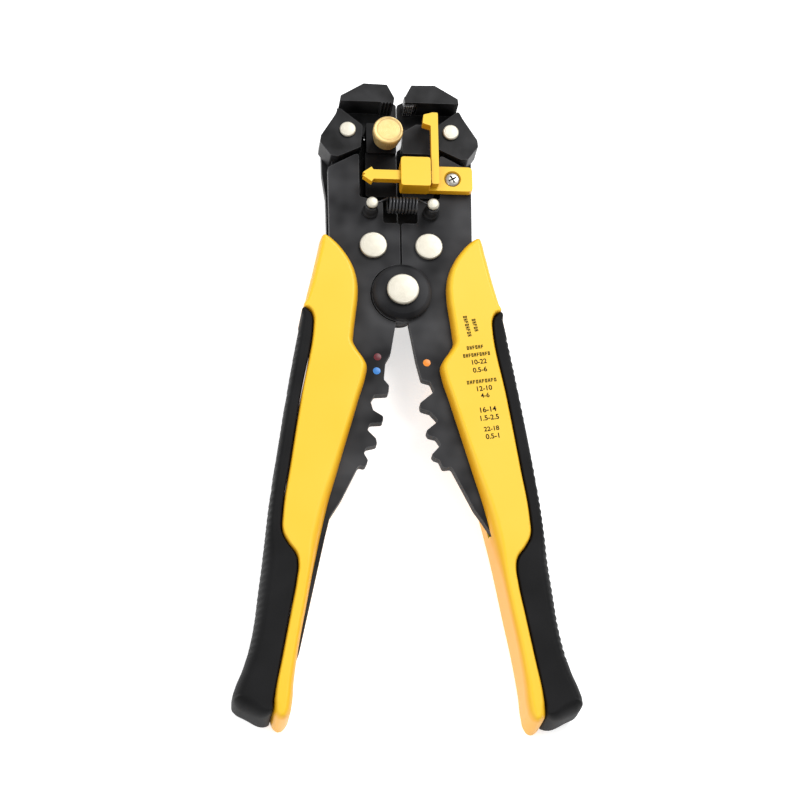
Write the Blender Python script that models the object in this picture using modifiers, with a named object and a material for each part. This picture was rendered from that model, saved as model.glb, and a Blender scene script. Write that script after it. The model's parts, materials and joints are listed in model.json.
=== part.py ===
"""Self-adjusting wire stripper with crimping jaws, lying on its back, as separate pieces.

The tool's length runs along Y with the head at +Y, and +Z is its front face. Plan points are
written in millimetres from the main pivot. Most outlines are given for the right side (+X),
and the left side is their mirror image.
"""

import math

import bmesh
import bpy
from mathutils import Matrix, Vector

MM = 0.001
SIDES = {"left": -1, "right": 1}

# Overall sizes, in millimetres from the pivot.
HEAD_TOP = 67.5
GRIP_END = 130.5
PIVOT_Y = (GRIP_END - HEAD_TOP) / 2
HALF_SQUEEZE = math.radians(9.75)  # each half turns this far about the pivot
GAP = 0.3  # running clearance

# Levels through the thickness, in millimetres above the ground.
GRIP_Z = (0.0, 18.0)
OVERMOULD_Z = (0.6, 17.4)
BACK_PLATE_Z = (3.5, 6.5)
INNER_Z = (6.8, 11.2)
FRONT_PLATE_Z = (11.5, 14.5)
WEB_Z = (6.8, 9.0)
LEVER_Z = (6.8, 15.5)
OVERHANG_Z = (6.8, 17.5)
LOWER_JAW_Z = (9.3, 15.0)
BLOCK_Z = (6.8, 13.5)

# Axes that run through the thickness: (x, y) on the right side.
JAW_PIN = (15.6, 52.7)
LINK_RIVET = (8.3, 15.2)
SPRING_POST = (9.1, 26.1)
BLOCK_RIVET = (5.6, 34.0)
KNOB_AXIS = (-4.2, 49.2)
STOP_SCREW = (15.6, 36.6)

# Radii.
PIVOT_SHAFT = 4.0
PIVOT_HEAD = 4.75
FRONT_COLLAR = 8.8
BACK_COLLAR = 5.9
FRONT_EAR = 9.0
BACK_EAR = 5.9
SPACER = 6.0
LINK_SHAFT = 3.0
LINK_HEAD = 4.1
JAW_SHAFT = 1.9
JAW_HEAD = 2.45
POST_SHANK = 1.2
POST_HEAD = 1.75
BLOCK_RIVET_SHAFT = 1.5
KNOB_RIM = 4.5
KNOB_HUB = 3.9
STUD = 1.7
SCREW_SHANK = 1.6
SCREW_HEAD = 2.35

# Return spring.
SPRING_AXIS_Z = 20.0
SPRING_WIRE = 0.4
COIL_RADIUS = 2.2
COIL_TURNS = 9
COIL_HALF_LENGTH = 4.5
COIL_STEPS = 9
HOOK_RADIUS = 1.75

# Wire stop.
RAIL_Y = (34.7, 37.7)
RAIL_Z = (17.4, 20.0)
TAB_Z = (14.8, 17.3)
STOP_BLOCK_Z = (15.3, 21.5)
ARM_Z = (17.9, 20.4)
HOOK_DIP_Z = (17.0, 20.4)

# Teeth and blades.
TOOTH_PITCH = 1.0
TOOTH_DEPTH = 0.6
TOOTH_COUNT = 4
BLADE_COUNT = 5
BLADE_PITCH = 0.62
BLADE_THICK = 0.36
MOUTH_TOP = 61.5
BLADE_DROP = 0.8

ROUND_STEPS = 24
FILLET_STEPS = 3


# ---------------------------------------------------------------- materials and collections


def new_material(name, color, roughness, metallic=0.0):
    """A Principled material with one colour."""
    material = bpy.data.materials.new(name)
    material.use_nodes = True
    shader = material.node_tree.nodes["Principled BSDF"]
    shader.inputs["Base Color"].default_value = (*color, 1.0)
    shader.inputs["Roughness"].default_value = roughness
    shader.inputs["Metallic"].default_value = metallic
    material.diffuse_color = (*color, 1.0)
    return material


def new_collection(name):
    collection = bpy.data.collections.new(name)
    bpy.context.scene.collection.children.link(collection)
    return collection


def clear_scene():
    for obj in list(bpy.data.objects):
        bpy.data.objects.remove(obj, do_unlink=True)


clear_scene()
PARTS = new_collection("wire_stripper")
CUTTERS = new_collection("cutters")
BLACK_OXIDE = new_material("black_oxide_steel", (0.045, 0.045, 0.048), 0.42, 0.85)
DARK_STEEL = new_material("dark_inner_steel", (0.02, 0.02, 0.022), 0.5, 0.8)
NICKEL = new_material("nickel_rivet", (0.82, 0.78, 0.68), 0.3, 1.0)
BRASS = new_material("brass", (0.72, 0.52, 0.22), 0.32, 1.0)
BLADE_STEEL = new_material("bright_blade_steel", (0.6, 0.6, 0.62), 0.25, 1.0)
YELLOW = new_material("yellow_plastic", (0.96, 0.62, 0.035), 0.38)
RUBBER = new_material("black_rubber", (0.015, 0.015, 0.016), 0.75)
SPRING_STEEL = new_material("spring_steel", (0.05, 0.05, 0.055), 0.35, 0.9)


# ---------------------------------------------------------------- plan geometry


def mirrored(points, side):
    """Plan points of the right side, carried to the given side."""
    return [(side * x, y) for x, y in points]


def turned_plan(point, angle):
    """A plan point turned about the pivot."""
    x, y = point
    return (x * math.cos(angle) - y * math.sin(angle), x * math.sin(angle) + y * math.cos(angle))


def rounded(points, radius):
    """The closed outline with each corner replaced by an arc, smaller where its sides are short."""
    result = []
    count = len(points)
    for index in range(count):
        before, here, after = (Vector(points[(index + step) % count]) for step in (-1, 0, 1))
        inward = (before - here).normalized()
        outward = (after - here).normalized()
        turn = math.pi - inward.angle(outward)
        if turn < math.radians(12):
            result.append(tuple(here))
            continue
        room = 0.45 * min((before - here).length, (after - here).length)
        reach = min(radius * math.tan(turn / 2), room)
        start, end = here + inward * reach, here + outward * reach
        for step in range(FILLET_STEPS + 1):
            t = step / FILLET_STEPS
            result.append(tuple((1 - t) ** 2 * start + 2 * t * (1 - t) * here + t**2 * end))
    return result


# ---------------------------------------------------------------- solids


def mesh_object(name, mesh, material, collection=None):
    obj = bpy.data.objects.new(name, mesh)
    (collection or PARTS).objects.link(obj)
    if material:
        mesh.materials.clear()
        mesh.materials.append(material)
    return obj


def mesh_from(obj):
    """The evaluated object as a clean mesh, with coincident points welded and flat caps whole."""
    graph = bpy.context.evaluated_depsgraph_get()
    mesh = bpy.data.meshes.new_from_object(obj.evaluated_get(graph))
    mesh.transform(obj.matrix_world)
    data = obj.data
    bpy.data.objects.remove(obj, do_unlink=True)
    if isinstance(data, bpy.types.Curve):
        bpy.data.curves.remove(data)
    work = bmesh.new()
    work.from_mesh(mesh)
    bmesh.ops.remove_doubles(work, verts=work.verts, dist=1e-6)
    bmesh.ops.dissolve_limit(
        work, angle_limit=math.radians(0.5), verts=work.verts, edges=work.edges
    )
    bmesh.ops.recalc_face_normals(work, faces=work.faces)
    work.to_mesh(mesh)
    work.free()
    return mesh


def outline_curve(points, levels, smooth=False, resolution=3):
    """A filled plan outline, extruded between two levels: straight sides, or a smooth curve."""
    curve = bpy.data.curves.new("outline", "CURVE")
    curve.dimensions = "2D"
    curve.fill_mode = "BOTH"
    curve.resolution_u = resolution
    curve.extrude = (levels[1] - levels[0]) / 2 * MM
    spline = curve.splines.new("BEZIER" if smooth else "POLY")
    if smooth:
        spline.bezier_points.add(len(points) - 1)
        for knot, point in zip(spline.bezier_points, points):
            knot.co = (point[0] * MM, point[1] * MM, 0.0)
            knot.handle_left_type = knot.handle_right_type = "AUTO"
    else:
        spline.points.add(len(points) - 1)
        for knot, point in zip(spline.points, points):
            knot.co = (point[0] * MM, point[1] * MM, 0.0, 1.0)
    spline.use_cyclic_u = True
    obj = bpy.data.objects.new("outline", curve)
    obj.location.z = (levels[0] + levels[1]) / 2 * MM
    PARTS.objects.link(obj)
    bpy.context.view_layer.update()
    return obj


def plate(name, points, levels, material=None, collection=None, smooth=False):
    """A flat piece from its plan outline."""
    mesh = mesh_from(outline_curve(points, levels, smooth))
    mesh.name = name
    return mesh_object(name, mesh, material, collection)


def turned(name, profile, centre, material=None, collection=None, steps=ROUND_STEPS):
    """A turned piece about an upright axis. The profile is (radius, height), top to bottom."""
    mesh = bpy.data.meshes.new(name)
    work = bmesh.new()
    points = [work.verts.new((r * MM, 0.0, z * MM)) for r, z in profile]
    for first, second in zip(points, points[1:]):
        work.edges.new((first, second))
    work.to_mesh(mesh)
    work.free()
    obj = bpy.data.objects.new(name, mesh)
    PARTS.objects.link(obj)
    screw = obj.modifiers.new("turn", "SCREW")
    screw.axis = "Z"
    screw.steps = screw.render_steps = steps
    screw.use_merge_vertices = True
    screw.merge_threshold = 1e-5
    bpy.context.view_layer.update()
    mesh = mesh_from(obj)
    mesh.name = name
    mesh.transform(Matrix.Translation((centre[0] * MM, centre[1] * MM, 0.0)))
    return mesh_object(name, mesh, material, collection)


def cylinder(name, radius, centre, levels, material=None, collection=None, steps=ROUND_STEPS):
    profile = [(0.0, levels[1]), (radius, levels[1]), (radius, levels[0]), (0.0, levels[0])]
    return turned(name, profile, centre, material, collection, steps)


def box_outline(x_range, y_range):
    (x0, x1), (y0, y1) = x_range, y_range
    return [(x0, y0), (x1, y0), (x1, y1), (x0, y1)]


def as_cutter(obj):
    """Moves a solid to the hidden collection of cutters."""
    for collection in list(obj.users_collection):
        collection.objects.unlink(obj)
    CUTTERS.objects.link(obj)
    obj.name = "cutter_" + obj.name
    obj.hide_render = True
    obj.display_type = "WIRE"
    return obj


def combine(target, other, operation):
    """A Boolean that stays on the target: the other solid becomes a hidden helper."""
    modifier = target.modifiers.new(operation.lower(), "BOOLEAN")
    modifier.operation = operation
    modifier.solver = "EXACT"
    modifier.object = as_cutter(other)
    return target


def cut(target, other):
    return combine(target, other, "DIFFERENCE")


def join(target, other):
    return combine(target, other, "UNION")


def use_manifold_solver(obj):
    """For a piece whose joined shapes share flat faces, or whose bevel meets a cut."""
    for modifier in obj.modifiers:
        if modifier.type == "BOOLEAN":
            modifier.solver = "MANIFOLD"


def soften(obj, width, segments=2, angle=35.0):
    """Rounds every edge that is sharper than the angle."""
    bevel = obj.modifiers.new("soften", "BEVEL")
    bevel.width = width * MM
    bevel.segments = segments
    bevel.limit_method = "ANGLE"
    bevel.angle_limit = math.radians(angle)
    return obj


def smooth_round(obj):
    obj.data.shade_smooth()
    obj.data.set_sharp_from_angle(angle=math.radians(30))
    return obj


def place(obj, holder, axis=(0.0, 0.0), holder_on_axis=False):
    """Sets the origin of a piece and of its helpers on its axis, and hangs it on its holder."""
    offset = Vector((axis[0] * MM, axis[1] * MM, 0.0))
    helpers = [modifier.object for modifier in obj.modifiers if modifier.type == "BOOLEAN"]
    for piece in [obj] + helpers:
        piece.data.transform(Matrix.Translation(-offset))
        piece.parent = holder
        piece.location = (0.0, 0.0, 0.0) if holder_on_axis else offset
    return obj


def new_holder(name, axis=(0.0, 0.0), parent=None):
    """An empty on a joint's axis, which carries what turns there."""
    holder = bpy.data.objects.new(name, None)
    holder.empty_display_size = 0.01
    holder.location = (axis[0] * MM, axis[1] * MM, 0.0)
    holder.parent = parent
    PARTS.objects.link(holder)
    return holder


# ---------------------------------------------------------------- outlines of the right side

# The crimping edge with the handles closed, where x = 0 is the line the two halves meet on.
LEFT_CRIMP = [
    (-0.3, -9.2), (-0.3, -19.3), (-1.4, -22.5), (-1.0, -27.9), (0.8, -29.5), (1.0, -32.2),
    (-3.0, -33.2), (-3.8, -35.4), (-2.6, -38.0), (0.6, -39.3), (0.8, -41.3), (-2.9, -42.2),
    (-3.3, -44.4), (-0.4, -46.5), (0.3, -48.5), (-2.9, -49.9), (-3.1, -51.8), (-1.6, -53.6),
    (-2.2, -55.8), (-4.1, -55.6),
]  # fmt: skip
RIGHT_CRIMP = [
    (0.3, -9.2), (0.3, -21.4), (0.7, -27.6), (3.1, -28.7), (3.8, -31.8), (-1.2, -34.8),
    (-1.3, -36.6), (1.3, -37.9), (3.2, -41.0), (-1.1, -43.6), (-0.6, -45.1), (1.5, -46.0),
    (2.5, -48.4), (-0.9, -51.1), (-0.2, -52.2), (1.1, -52.9), (1.7, -55.6), (4.2, -55.6),
]  # fmt: skip
LEFT_STRIP = [
    (18.6, -64.6), (21.9, -70.0), (23.4, -76.3), (25.6, -86.0), (28.2, -98.3), (30.9, -110.5),
    (32.3, -114.5),
]  # fmt: skip
RIGHT_STRIP = [
    (19.9, -67.0), (22.0, -70.0), (26.3, -77.0), (28.3, -86.0), (30.4, -96.0), (32.9, -108.0),
    (34.0, -114.5),
]  # fmt: skip
HIDDEN_TANG = [
    (35.0, -115.0), (33.0, -100.0), (27.9, -75.0), (21.5, -50.0), (18.0, -30.0),
    (18.5, -14.0), (20.3, 0.0), (21.3, 17.0),
]  # fmt: skip
FRONT_HEAD = [
    (21.6, 40.6), (12.2, 45.8), (12.2, 31.2), (5.2, 29.8), (5.2, 22.8), (0.25, 22.8),
]  # fmt: skip
BACK_PLATE = [
    (0.14, 9.0), (0.14, 50.3), (2.2, 52.0), (9.5, 53.6), (13.0, 57.0), (18.3, 57.0),
    (22.9, 50.0), (22.7, 42.0), (21.6, 34.0), (21.3, 17.0), (20.3, 0.0), (18.5, -14.0),
    (21.5, -40.0), (24.0, -54.0), (21.0, -55.0), (15.5, -30.0), (13.6, -21.5), (9.5, -18.5),
    (6.4, -13.0), (4.2, -8.0), (3.6, -4.6),
]  # fmt: skip
ROCKER = [
    (0.35, 12.4), (6.0, 9.6), (12.4, 10.8), (14.0, 18.0), (16.1, 38.0), (15.9, 42.4),
    (12.5, 42.6), (10.6, 31.0), (6.0, 21.0), (0.35, 18.0),
]  # fmt: skip
LEVER = [
    (18.2, 60.2), (19.4, 57.6), (23.7, 50.6), (23.9, 48.4), (20.8, 44.2), (18.6, 43.9),
    (11.7, 47.2), (11.1, 54.4), (13.5, 56.4),
]  # fmt: skip
JAW_TAIL = [(12.6, 50.0), (16.2, 45.0), (16.2, 38.9), (19.4, 38.9), (20.2, 44.5), (18.0, 50.0)]
WEB = [
    (18.2, 63.0), (18.0, 56.0), (11.0, 53.6), (0.15, 57.2), (0.15, 64.6), (3.6, 66.6),
    (10.8, 67.2),
]  # fmt: skip
OVERHANG = [(18.0, 61.5), (17.8, 63.2), (10.8, 67.5), (3.7, 67.3), (1.5, 62.9), (1.7, 61.5)]
SQUARE = [(0.95, 45.6), (0.95, 52.6), (5.2, 55.4), (9.9, 55.4), (9.9, 45.6)]
BLOCK = [(0.95, 31.7), (0.95, 46.4), (10.2, 46.4), (10.2, 31.7)]

# The grips: inner edge and outer edge, both from the top tip to the end.
GRIP_INNER = [
    (24.1, 16.2), (23.2, 17.4), (21.7, 17.2), (19.8, 15.8), (17.7, 13.4), (15.6, 10.2),
    (14.1, 6.8), (13.2, 2.4), (13.2, -2.0), (13.9, -8.0), (14.6, -14.0), (14.7, -16.2),
    (13.8, -18.2), (11.5, -21.8), (10.8, -23.6), (11.1, -26.4), (13.4, -34.4), (20.1, -58.0),
    (22.4, -66.5), (24.5, -76.2), (26.8, -86.0), (28.9, -97.0), (31.2, -109.6), (32.5, -119.0),
    (33.1, -126.0),
]  # fmt: skip
GRIP_OUTER = [(24.9, 13.0), (26.7, 5.0), (28.7, -3.6)]
GRIP_END_ARC = [(38.4, -128.2), (37.4, -130.0), (35.6, -130.5), (33.9, -129.0)]
PARTING = [
    (29.1, -5.9), (27.7, -6.5), (26.6, -8.3), (26.4, -12.0), (30.1, -34.0), (33.2, -54.0),
    (35.6, -70.8), (35.6, -75.4), (34.0, -78.8), (31.7, -82.2), (31.2, -84.8), (31.7, -90.0),
    (33.4, -99.3), (35.8, -112.2), (38.2, -125.0),
]  # fmt: skip
OVERMOULD_OUTER = [
    (39.2, -128.9), (46.6, -127.4), (49.0, -125.6), (49.6, -123.4), (48.9, -120.5),
    (46.6, -114.6), (44.0, -104.5), (42.0, -90.0), (40.2, -75.5), (38.7, -62.5), (33.4, -28.0),
    (30.3, -10.6), (29.8, -8.4),
]  # fmt: skip
PARTING_GAP = (0.42, -0.3)

# The slots for the tangs: the left front one is open along the inner edge, the right one
# closes below the crimping nests, and both back ones end there.
SLOT_BACK = [
    (5.0, 26.0), (21.9, 18.0), (20.9, 0.0), (19.2, -14.0), (18.8, -30.0), (22.2, -50.0),
    (28.6, -75.0), (33.7, -100.0), (35.8, -117.5),
]  # fmt: skip
OPEN_SLOT = SLOT_BACK + [(28.0, -117.5), (10.0, -60.0), (0.0, -20.0)]
CLOSED_SLOT = SLOT_BACK + [
    (33.7, -115.5), (32.6, -108.0), (30.1, -96.0), (28.0, -86.0), (26.0, -77.0),
    (20.5, -70.3), (10.0, -60.0), (0.0, -20.0),
]  # fmt: skip
BACK_TANG_SLOT = [
    (5.0, 26.0), (21.9, 18.0), (20.9, 0.0), (19.3, -14.0), (22.2, -40.0), (24.8, -55.6),
    (8.0, -57.5), (0.0, -20.0),
]  # fmt: skip


# ---------------------------------------------------------------- main pivot and plates


def make_pivot(holder):
    """The big rivet, its collars on both faces and the bush that keeps the plates apart."""
    shaft, head = PIVOT_SHAFT, PIVOT_HEAD
    rivet = turned("pivot_rivet", [
        (0.0, 18.6), (head - 0.7, 18.55), (head, 18.1), (head, 17.6), (shaft, 17.6),
        (shaft, 1.3), (head, 1.3), (head, 0.8), (head - 0.5, 0.4), (0.0, 0.4),
    ], (0, 0), NICKEL)  # fmt: skip
    place(smooth_round(rivet), holder)
    hole = shaft + GAP / 2
    front = turned("pivot_collar_front", [
        (hole, 17.3), (FRONT_COLLAR - 1.1, 17.3), (FRONT_COLLAR, 16.2), (FRONT_COLLAR, 14.8),
        (hole, 14.8),
        (hole, 17.3),
    ], (0, 0), BLACK_OXIDE)  # fmt: skip
    place(smooth_round(front), holder)
    back = turned("pivot_collar_back", [
        (hole, 3.2), (BACK_COLLAR, 3.2), (BACK_COLLAR, 2.2), (BACK_COLLAR - 0.6, 1.6),
        (hole, 1.6),
        (hole, 3.2),
    ], (0, 0), BLACK_OXIDE)  # fmt: skip
    place(smooth_round(back), holder)
    bush = turned("pivot_spacer", [
        (hole, INNER_Z[1]), (SPACER, INNER_Z[1]), (SPACER, INNER_Z[0]), (hole, INNER_Z[0]),
        (hole, INNER_Z[1]),
    ], (0, 0), DARK_STEEL)  # fmt: skip
    place(smooth_round(bush), holder)


def lap_joint(obj, levels, side, radius):
    """Half-thickness ears that let both halves' plates turn on the pivot in one layer."""
    middle = (levels[0] + levels[1]) / 2
    lower, upper = (levels[0], middle - 0.1), (middle + 0.1, levels[1])
    own, other = (lower, upper) if side < 0 else (upper, lower)
    open_levels = (other[0] - (0.3 if side > 0 else 0.2), other[1] + (0.2 if side > 0 else 0.3))
    cut(obj, cylinder(obj.name + "_recess", radius + 0.4, (0, 0), open_levels, steps=32))
    join(obj, cylinder(obj.name + "_ear", radius, (0, 0), own, steps=32))
    cut(obj, cylinder(obj.name + "_bore", PIVOT_SHAFT + GAP / 2, (0, 0), through(levels)))


def through(levels):
    """Levels that pass right through the given ones."""
    return (levels[0] - 1.0, levels[1] + 1.0)


def bore(obj, radius, centre, levels):
    cut(obj, cylinder(obj.name + "_hole", radius, centre, through(levels), steps=24))


def front_plate_outline(side):
    """Half of the head and, from the same sheet, the tang with its cutter and crimping nests."""
    contour, strip = (LEFT_CRIMP, LEFT_STRIP) if side < 0 else (RIGHT_CRIMP, RIGHT_STRIP)
    opened = [turned_plan(point, side * HALF_SQUEEZE) for point in contour]
    rest = mirrored(strip + HIDDEN_TANG + FRONT_HEAD, side)
    return rounded([(0.25 * side, 9.0)] + opened + rest, 0.9)


def make_front_plate(name, side, holder):
    obj = plate(name, front_plate_outline(side), FRONT_PLATE_Z, BLACK_OXIDE)
    lap_joint(obj, FRONT_PLATE_Z, side, FRONT_EAR)
    bore(obj, LINK_SHAFT + 0.15, (side * LINK_RIVET[0], LINK_RIVET[1]), FRONT_PLATE_Z)
    bore(obj, POST_SHANK + 0.15, (side * SPRING_POST[0], SPRING_POST[1]), FRONT_PLATE_Z)
    if side > 0:
        bore(obj, SCREW_SHANK + 0.2, STOP_SCREW, FRONT_PLATE_Z)
    return place(obj, holder)


def make_back_plate(name, side, holder):
    obj = plate(name, rounded(mirrored(BACK_PLATE, side), 1.0), BACK_PLATE_Z, BLACK_OXIDE)
    lap_joint(obj, BACK_PLATE_Z, side, BACK_EAR)
    for radius, centre in (
        (LINK_SHAFT, LINK_RIVET),
        (JAW_SHAFT, JAW_PIN),
        (BLOCK_RIVET_SHAFT, BLOCK_RIVET),
    ):
        bore(obj, radius + 0.15, (side * centre[0], centre[1]), BACK_PLATE_Z)
    return place(obj, holder)


def make_rivet(name, radius, head, top, bottom, heads, centre, holder, material=NICKEL):
    """A headed pin: the heads start at the given levels and stand out to top and bottom."""
    crown = 0.3
    obj = turned(name, [
        (0.0, top), (head - 0.6, top - 0.05), (head, top - crown), (head, heads[1]),
        (radius, heads[1]), (radius, heads[0]), (head, heads[0]), (head, bottom + crown),
        (head - 0.5, bottom), (0.0, bottom),
    ], centre, material)  # fmt: skip
    return place(smooth_round(obj), holder, centre)


def make_block_rivet(name, centre, holder):
    """The rivet that holds a lower jaw's block from behind."""
    shaft, head = BLOCK_RIVET_SHAFT, 2.2
    obj = turned(name, [
        (0.0, 9.8), (shaft, 9.8), (shaft, 3.2), (head, 3.2), (head, 2.7), (head - 0.5, 2.4),
        (0.0, 2.4),
    ], centre, NICKEL, steps=16)  # fmt: skip
    return place(smooth_round(obj), holder, centre)


# ---------------------------------------------------------------- linkage and jaws


def make_rocker(name, side, holder, centre):
    """The bell crank between the plates: its nose meets its twin, its arm pushes the jaw."""
    obj = plate(name, rounded(mirrored(ROCKER, side), 1.8), INNER_Z, DARK_STEEL)
    bore(obj, LINK_SHAFT + 0.1, centre, INNER_Z)
    return place(obj, holder, centre, holder_on_axis=True)


def saw_edge(start, pitch, depth, count, y):
    """Points of a row of teeth below the level y, from the inner end outwards."""
    points = []
    for index in range(count):
        x = start + index * pitch
        points += [(x, y), (x + pitch / 2, y - depth)]
    return points + [(start + count * pitch, y)]


def make_upper_jaw(name, side, holder, centre):
    """A C-shaped jaw: lever and tail at the pin, a web behind the mouth, and the overhang."""
    lever = rounded(mirrored(LEVER, side), 0.8)
    obj = plate(name, lever, LEVER_Z, BLACK_OXIDE)
    join(obj, plate(name + "_tail", rounded(mirrored(JAW_TAIL, side), 0.8), INNER_Z))
    join(obj, plate(name + "_web", rounded(mirrored(WEB, side), 0.6), WEB_Z))
    overhang = list(OVERHANG)
    if side < 0:
        overhang = overhang[:-1] + saw_edge(1.7, TOOTH_PITCH, TOOTH_DEPTH, TOOTH_COUNT, MOUTH_TOP)
    join(obj, plate(name + "_overhang", mirrored(overhang, side), OVERHANG_Z))
    if side > 0:
        pocket = plate(name + "_pocket", box_outline((0.5, 5.6), (60.0, 64.7)), (9.7, 16.3))
        cut(obj, pocket)
    bore(obj, JAW_SHAFT + 0.15, centre, LEVER_Z)
    use_manifold_solver(obj)
    return place(obj, holder, centre, holder_on_axis=True)


def make_lower_jaw(name, side, holder):
    """The fixed inner block: a square front face whose sloping top meets the upper jaw."""
    obj = plate(name, rounded(mirrored(SQUARE, side), 0.5), LOWER_JAW_Z, DARK_STEEL)
    join(obj, plate(name + "_body", rounded(mirrored(BLOCK, side), 0.8), BLOCK_Z))
    centre = (side * BLOCK_RIVET[0], BLOCK_RIVET[1])
    bore(obj, BLOCK_RIVET_SHAFT + 0.15, centre, (BLOCK_Z[0], 10.0))
    if side < 0:
        bore(obj, STUD + 0.2, KNOB_AXIS, (10.5, 16.0))
    else:
        pocket = plate(name + "_pocket", blade_seat(0.2), (9.0, 14.4))
        cut(obj, pocket)
    return place(obj, holder)


def blade_seat(grow):
    """Plan of the lower blades' seat: a slanted box square to the block's sloping top."""
    x0, x1, slope = 0.4, 4.3 + grow, (55.4 - 52.6) / (5.2 - 0.95)
    return [(x0, 50.2 - grow), (x1, 50.2 - grow), (x1, 57.0 + slope), (x0, 57.0)]


def make_upper_blades(holder, centre):
    """The stripping blades in the right upper jaw: thin blades that share one back."""
    top, back, edge = 64.3, 61.9, MOUTH_TOP - BLADE_DROP
    points = [(1.6, top), (1.6, edge)]
    for index in range(BLADE_COUNT):
        x = 1.6 + index * BLADE_PITCH
        points += [(x + BLADE_THICK, edge + 0.25), (x + BLADE_THICK, back)]
        if index < BLADE_COUNT - 1:
            points += [(x + BLADE_PITCH, back), (x + BLADE_PITCH, edge)]
    points += [(5.2, back), (5.2, top)]
    obj = plate("upper_blade_pack", points, (10.0, 16.0), BLADE_STEEL)
    return place(obj, holder, centre, holder_on_axis=True)


def make_lower_blades(holder):
    """The matching blades in the right lower jaw, cut off along its sloping top."""
    points = [(4.0, 50.6), (1.25, 50.6)]
    for index in range(BLADE_COUNT - 1):
        x = 1.25 + index * BLADE_PITCH
        height = 52.55 + 0.66 * (index * BLADE_PITCH)
        points += [(x, height), (x + BLADE_THICK, height + 0.24)]
        if index < BLADE_COUNT - 2:
            points += [(x + BLADE_THICK, 51.6), (x + BLADE_PITCH, 51.6)]
    points += [(4.0, 52.3)]
    return place(plate("lower_blade_pack", points, (9.3, 14.1), BLADE_STEEL), holder)


# ---------------------------------------------------------------- spring, knob and wire stop


def make_post(name, side, holder):
    """A headed post that holds one end of the spring above the front plate."""
    centre = (side * SPRING_POST[0], SPRING_POST[1])
    head, neck, foot = POST_HEAD, POST_SHANK, 2.4
    obj = turned(name, [
        (0.0, 22.2), (head - 0.3, 22.2), (head, 21.9), (head, 21.2), (neck, 20.8),
        (neck, 18.6), (1.9, 18.0), (1.9, 16.2), (foot, 15.9), (foot, 14.8), (neck, 14.8),
        (neck, 11.6), (0.0, 11.6),
    ], centre, NICKEL, steps=16)  # fmt: skip
    return place(smooth_round(obj), holder, centre)


def hook_points(side):
    """One end of the spring: out of the coil along its axis, then three quarters round a post."""
    points = []
    centre_x = side * SPRING_POST[0]
    for step in range(11):
        angle = math.radians(155 - 29 * step)
        x = centre_x - side * -HOOK_RADIUS * math.cos(angle)
        points.append((x, SPRING_POST[1] + HOOK_RADIUS * math.sin(angle), SPRING_AXIS_Z))
    return points


def make_spring(holder):
    """The tension spring: an open coil between two hooks, one round each post."""
    coil = []
    steps = COIL_TURNS * COIL_STEPS
    for step in range(steps + 1):
        angle = math.pi / 2 + math.tau * step / COIL_STEPS
        x = COIL_HALF_LENGTH * (2 * step / steps - 1)
        y = SPRING_POST[1] + COIL_RADIUS * math.sin(angle)
        coil.append((x, y, SPRING_AXIS_Z + COIL_RADIUS * math.cos(angle)))
    route = list(reversed(hook_points(-1))) + coil + hook_points(1)
    curve = bpy.data.curves.new("return_spring", "CURVE")
    curve.dimensions = "3D"
    curve.bevel_depth = SPRING_WIRE * MM
    curve.bevel_resolution = 1
    curve.use_fill_caps = True
    spline = curve.splines.new("POLY")
    spline.points.add(len(route) - 1)
    for knot, (x, y, z) in zip(spline.points, route):
        knot.co = (x * MM, y * MM, z * MM, 1.0)
    obj = bpy.data.objects.new("return_spring_route", curve)
    PARTS.objects.link(obj)
    bpy.context.view_layer.update()
    spring = mesh_object("return_spring", mesh_from(obj), SPRING_STEEL)
    spring.data.shade_smooth()
    return place(spring, holder)


def make_knob(holder):
    """The brass adjusting knob, blind-bored from below, with a knurled rim."""
    rim, hub = KNOB_RIM, KNOB_HUB
    obj = turned("adjust_knob", [
        (0.0, 23.8), (rim - 0.6, 23.8), (rim, 23.3), (rim, 20.6), (hub, 20.0), (hub, 17.6),
        (STUD + 0.25, 17.6), (STUD + 0.25, 21.4), (0.0, 21.4),
    ], KNOB_AXIS, BRASS, steps=32)  # fmt: skip
    return place(smooth_round(obj), holder, KNOB_AXIS)


def make_stop_holder(holder):
    """The moulded holder: a screwed tab and a block with a passage for the sliding rail."""
    tab = rounded(box_outline((4.0, 21.6), (32.6, 40.6)), 1.2)
    obj = plate("wire_stop_holder", tab, TAB_Z, YELLOW)
    block = rounded(box_outline((-0.3, 8.6), (32.2, 41.6)), 0.9)
    join(obj, plate("stop_block", block, STOP_BLOCK_Z))
    passage = plate(
        "stop_passage",
        box_outline((-2.0, 24.0), (RAIL_Y[0] - GAP, RAIL_Y[1] + GAP)),
        (RAIL_Z[0] - GAP / 3, RAIL_Z[1] + GAP),
    )
    cut(obj, passage)
    sink = turned("stop_sink", [
        (0.0, 19.0), (SCREW_HEAD + 0.2, 19.0), (SCREW_HEAD + 0.2, 17.0), (SCREW_SHANK + 0.2, 16.0),
        (SCREW_SHANK + 0.2, 13.0), (0.0, 13.0),
    ], STOP_SCREW, steps=24)  # fmt: skip
    cut(obj, sink)
    use_manifold_solver(obj)
    return place(obj, holder)


def make_stop_rod(holder):
    """The sliding stop: a barbed rail, an arm up beside the jaw and a hook at its end."""
    low, high = RAIL_Y
    middle = (low + high) / 2
    rail = [
        (11.2, low), (11.2, high), (-8.4, high), (-9.0, high + 0.9), (-11.6, middle + 0.5),
        (-10.8, middle), (-11.6, middle - 0.5), (-9.0, low - 0.9), (-8.4, low),
    ]  # fmt: skip
    obj = plate("wire_stop_rod", rail, RAIL_Z, YELLOW)
    arm = box_outline((9.0, 11.2), (33.4, 57.0))
    join(obj, plate("stop_arm", rounded(arm, 0.5), ARM_Z))
    hook = [(9.6, 57.0), (6.9, 56.2), (6.6, 53.4), (9.0, 52.6), (9.6, 50.6)]
    join(obj, plate("stop_hook", rounded(hook, 0.3), HOOK_DIP_Z))
    return place(obj, holder)


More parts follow.
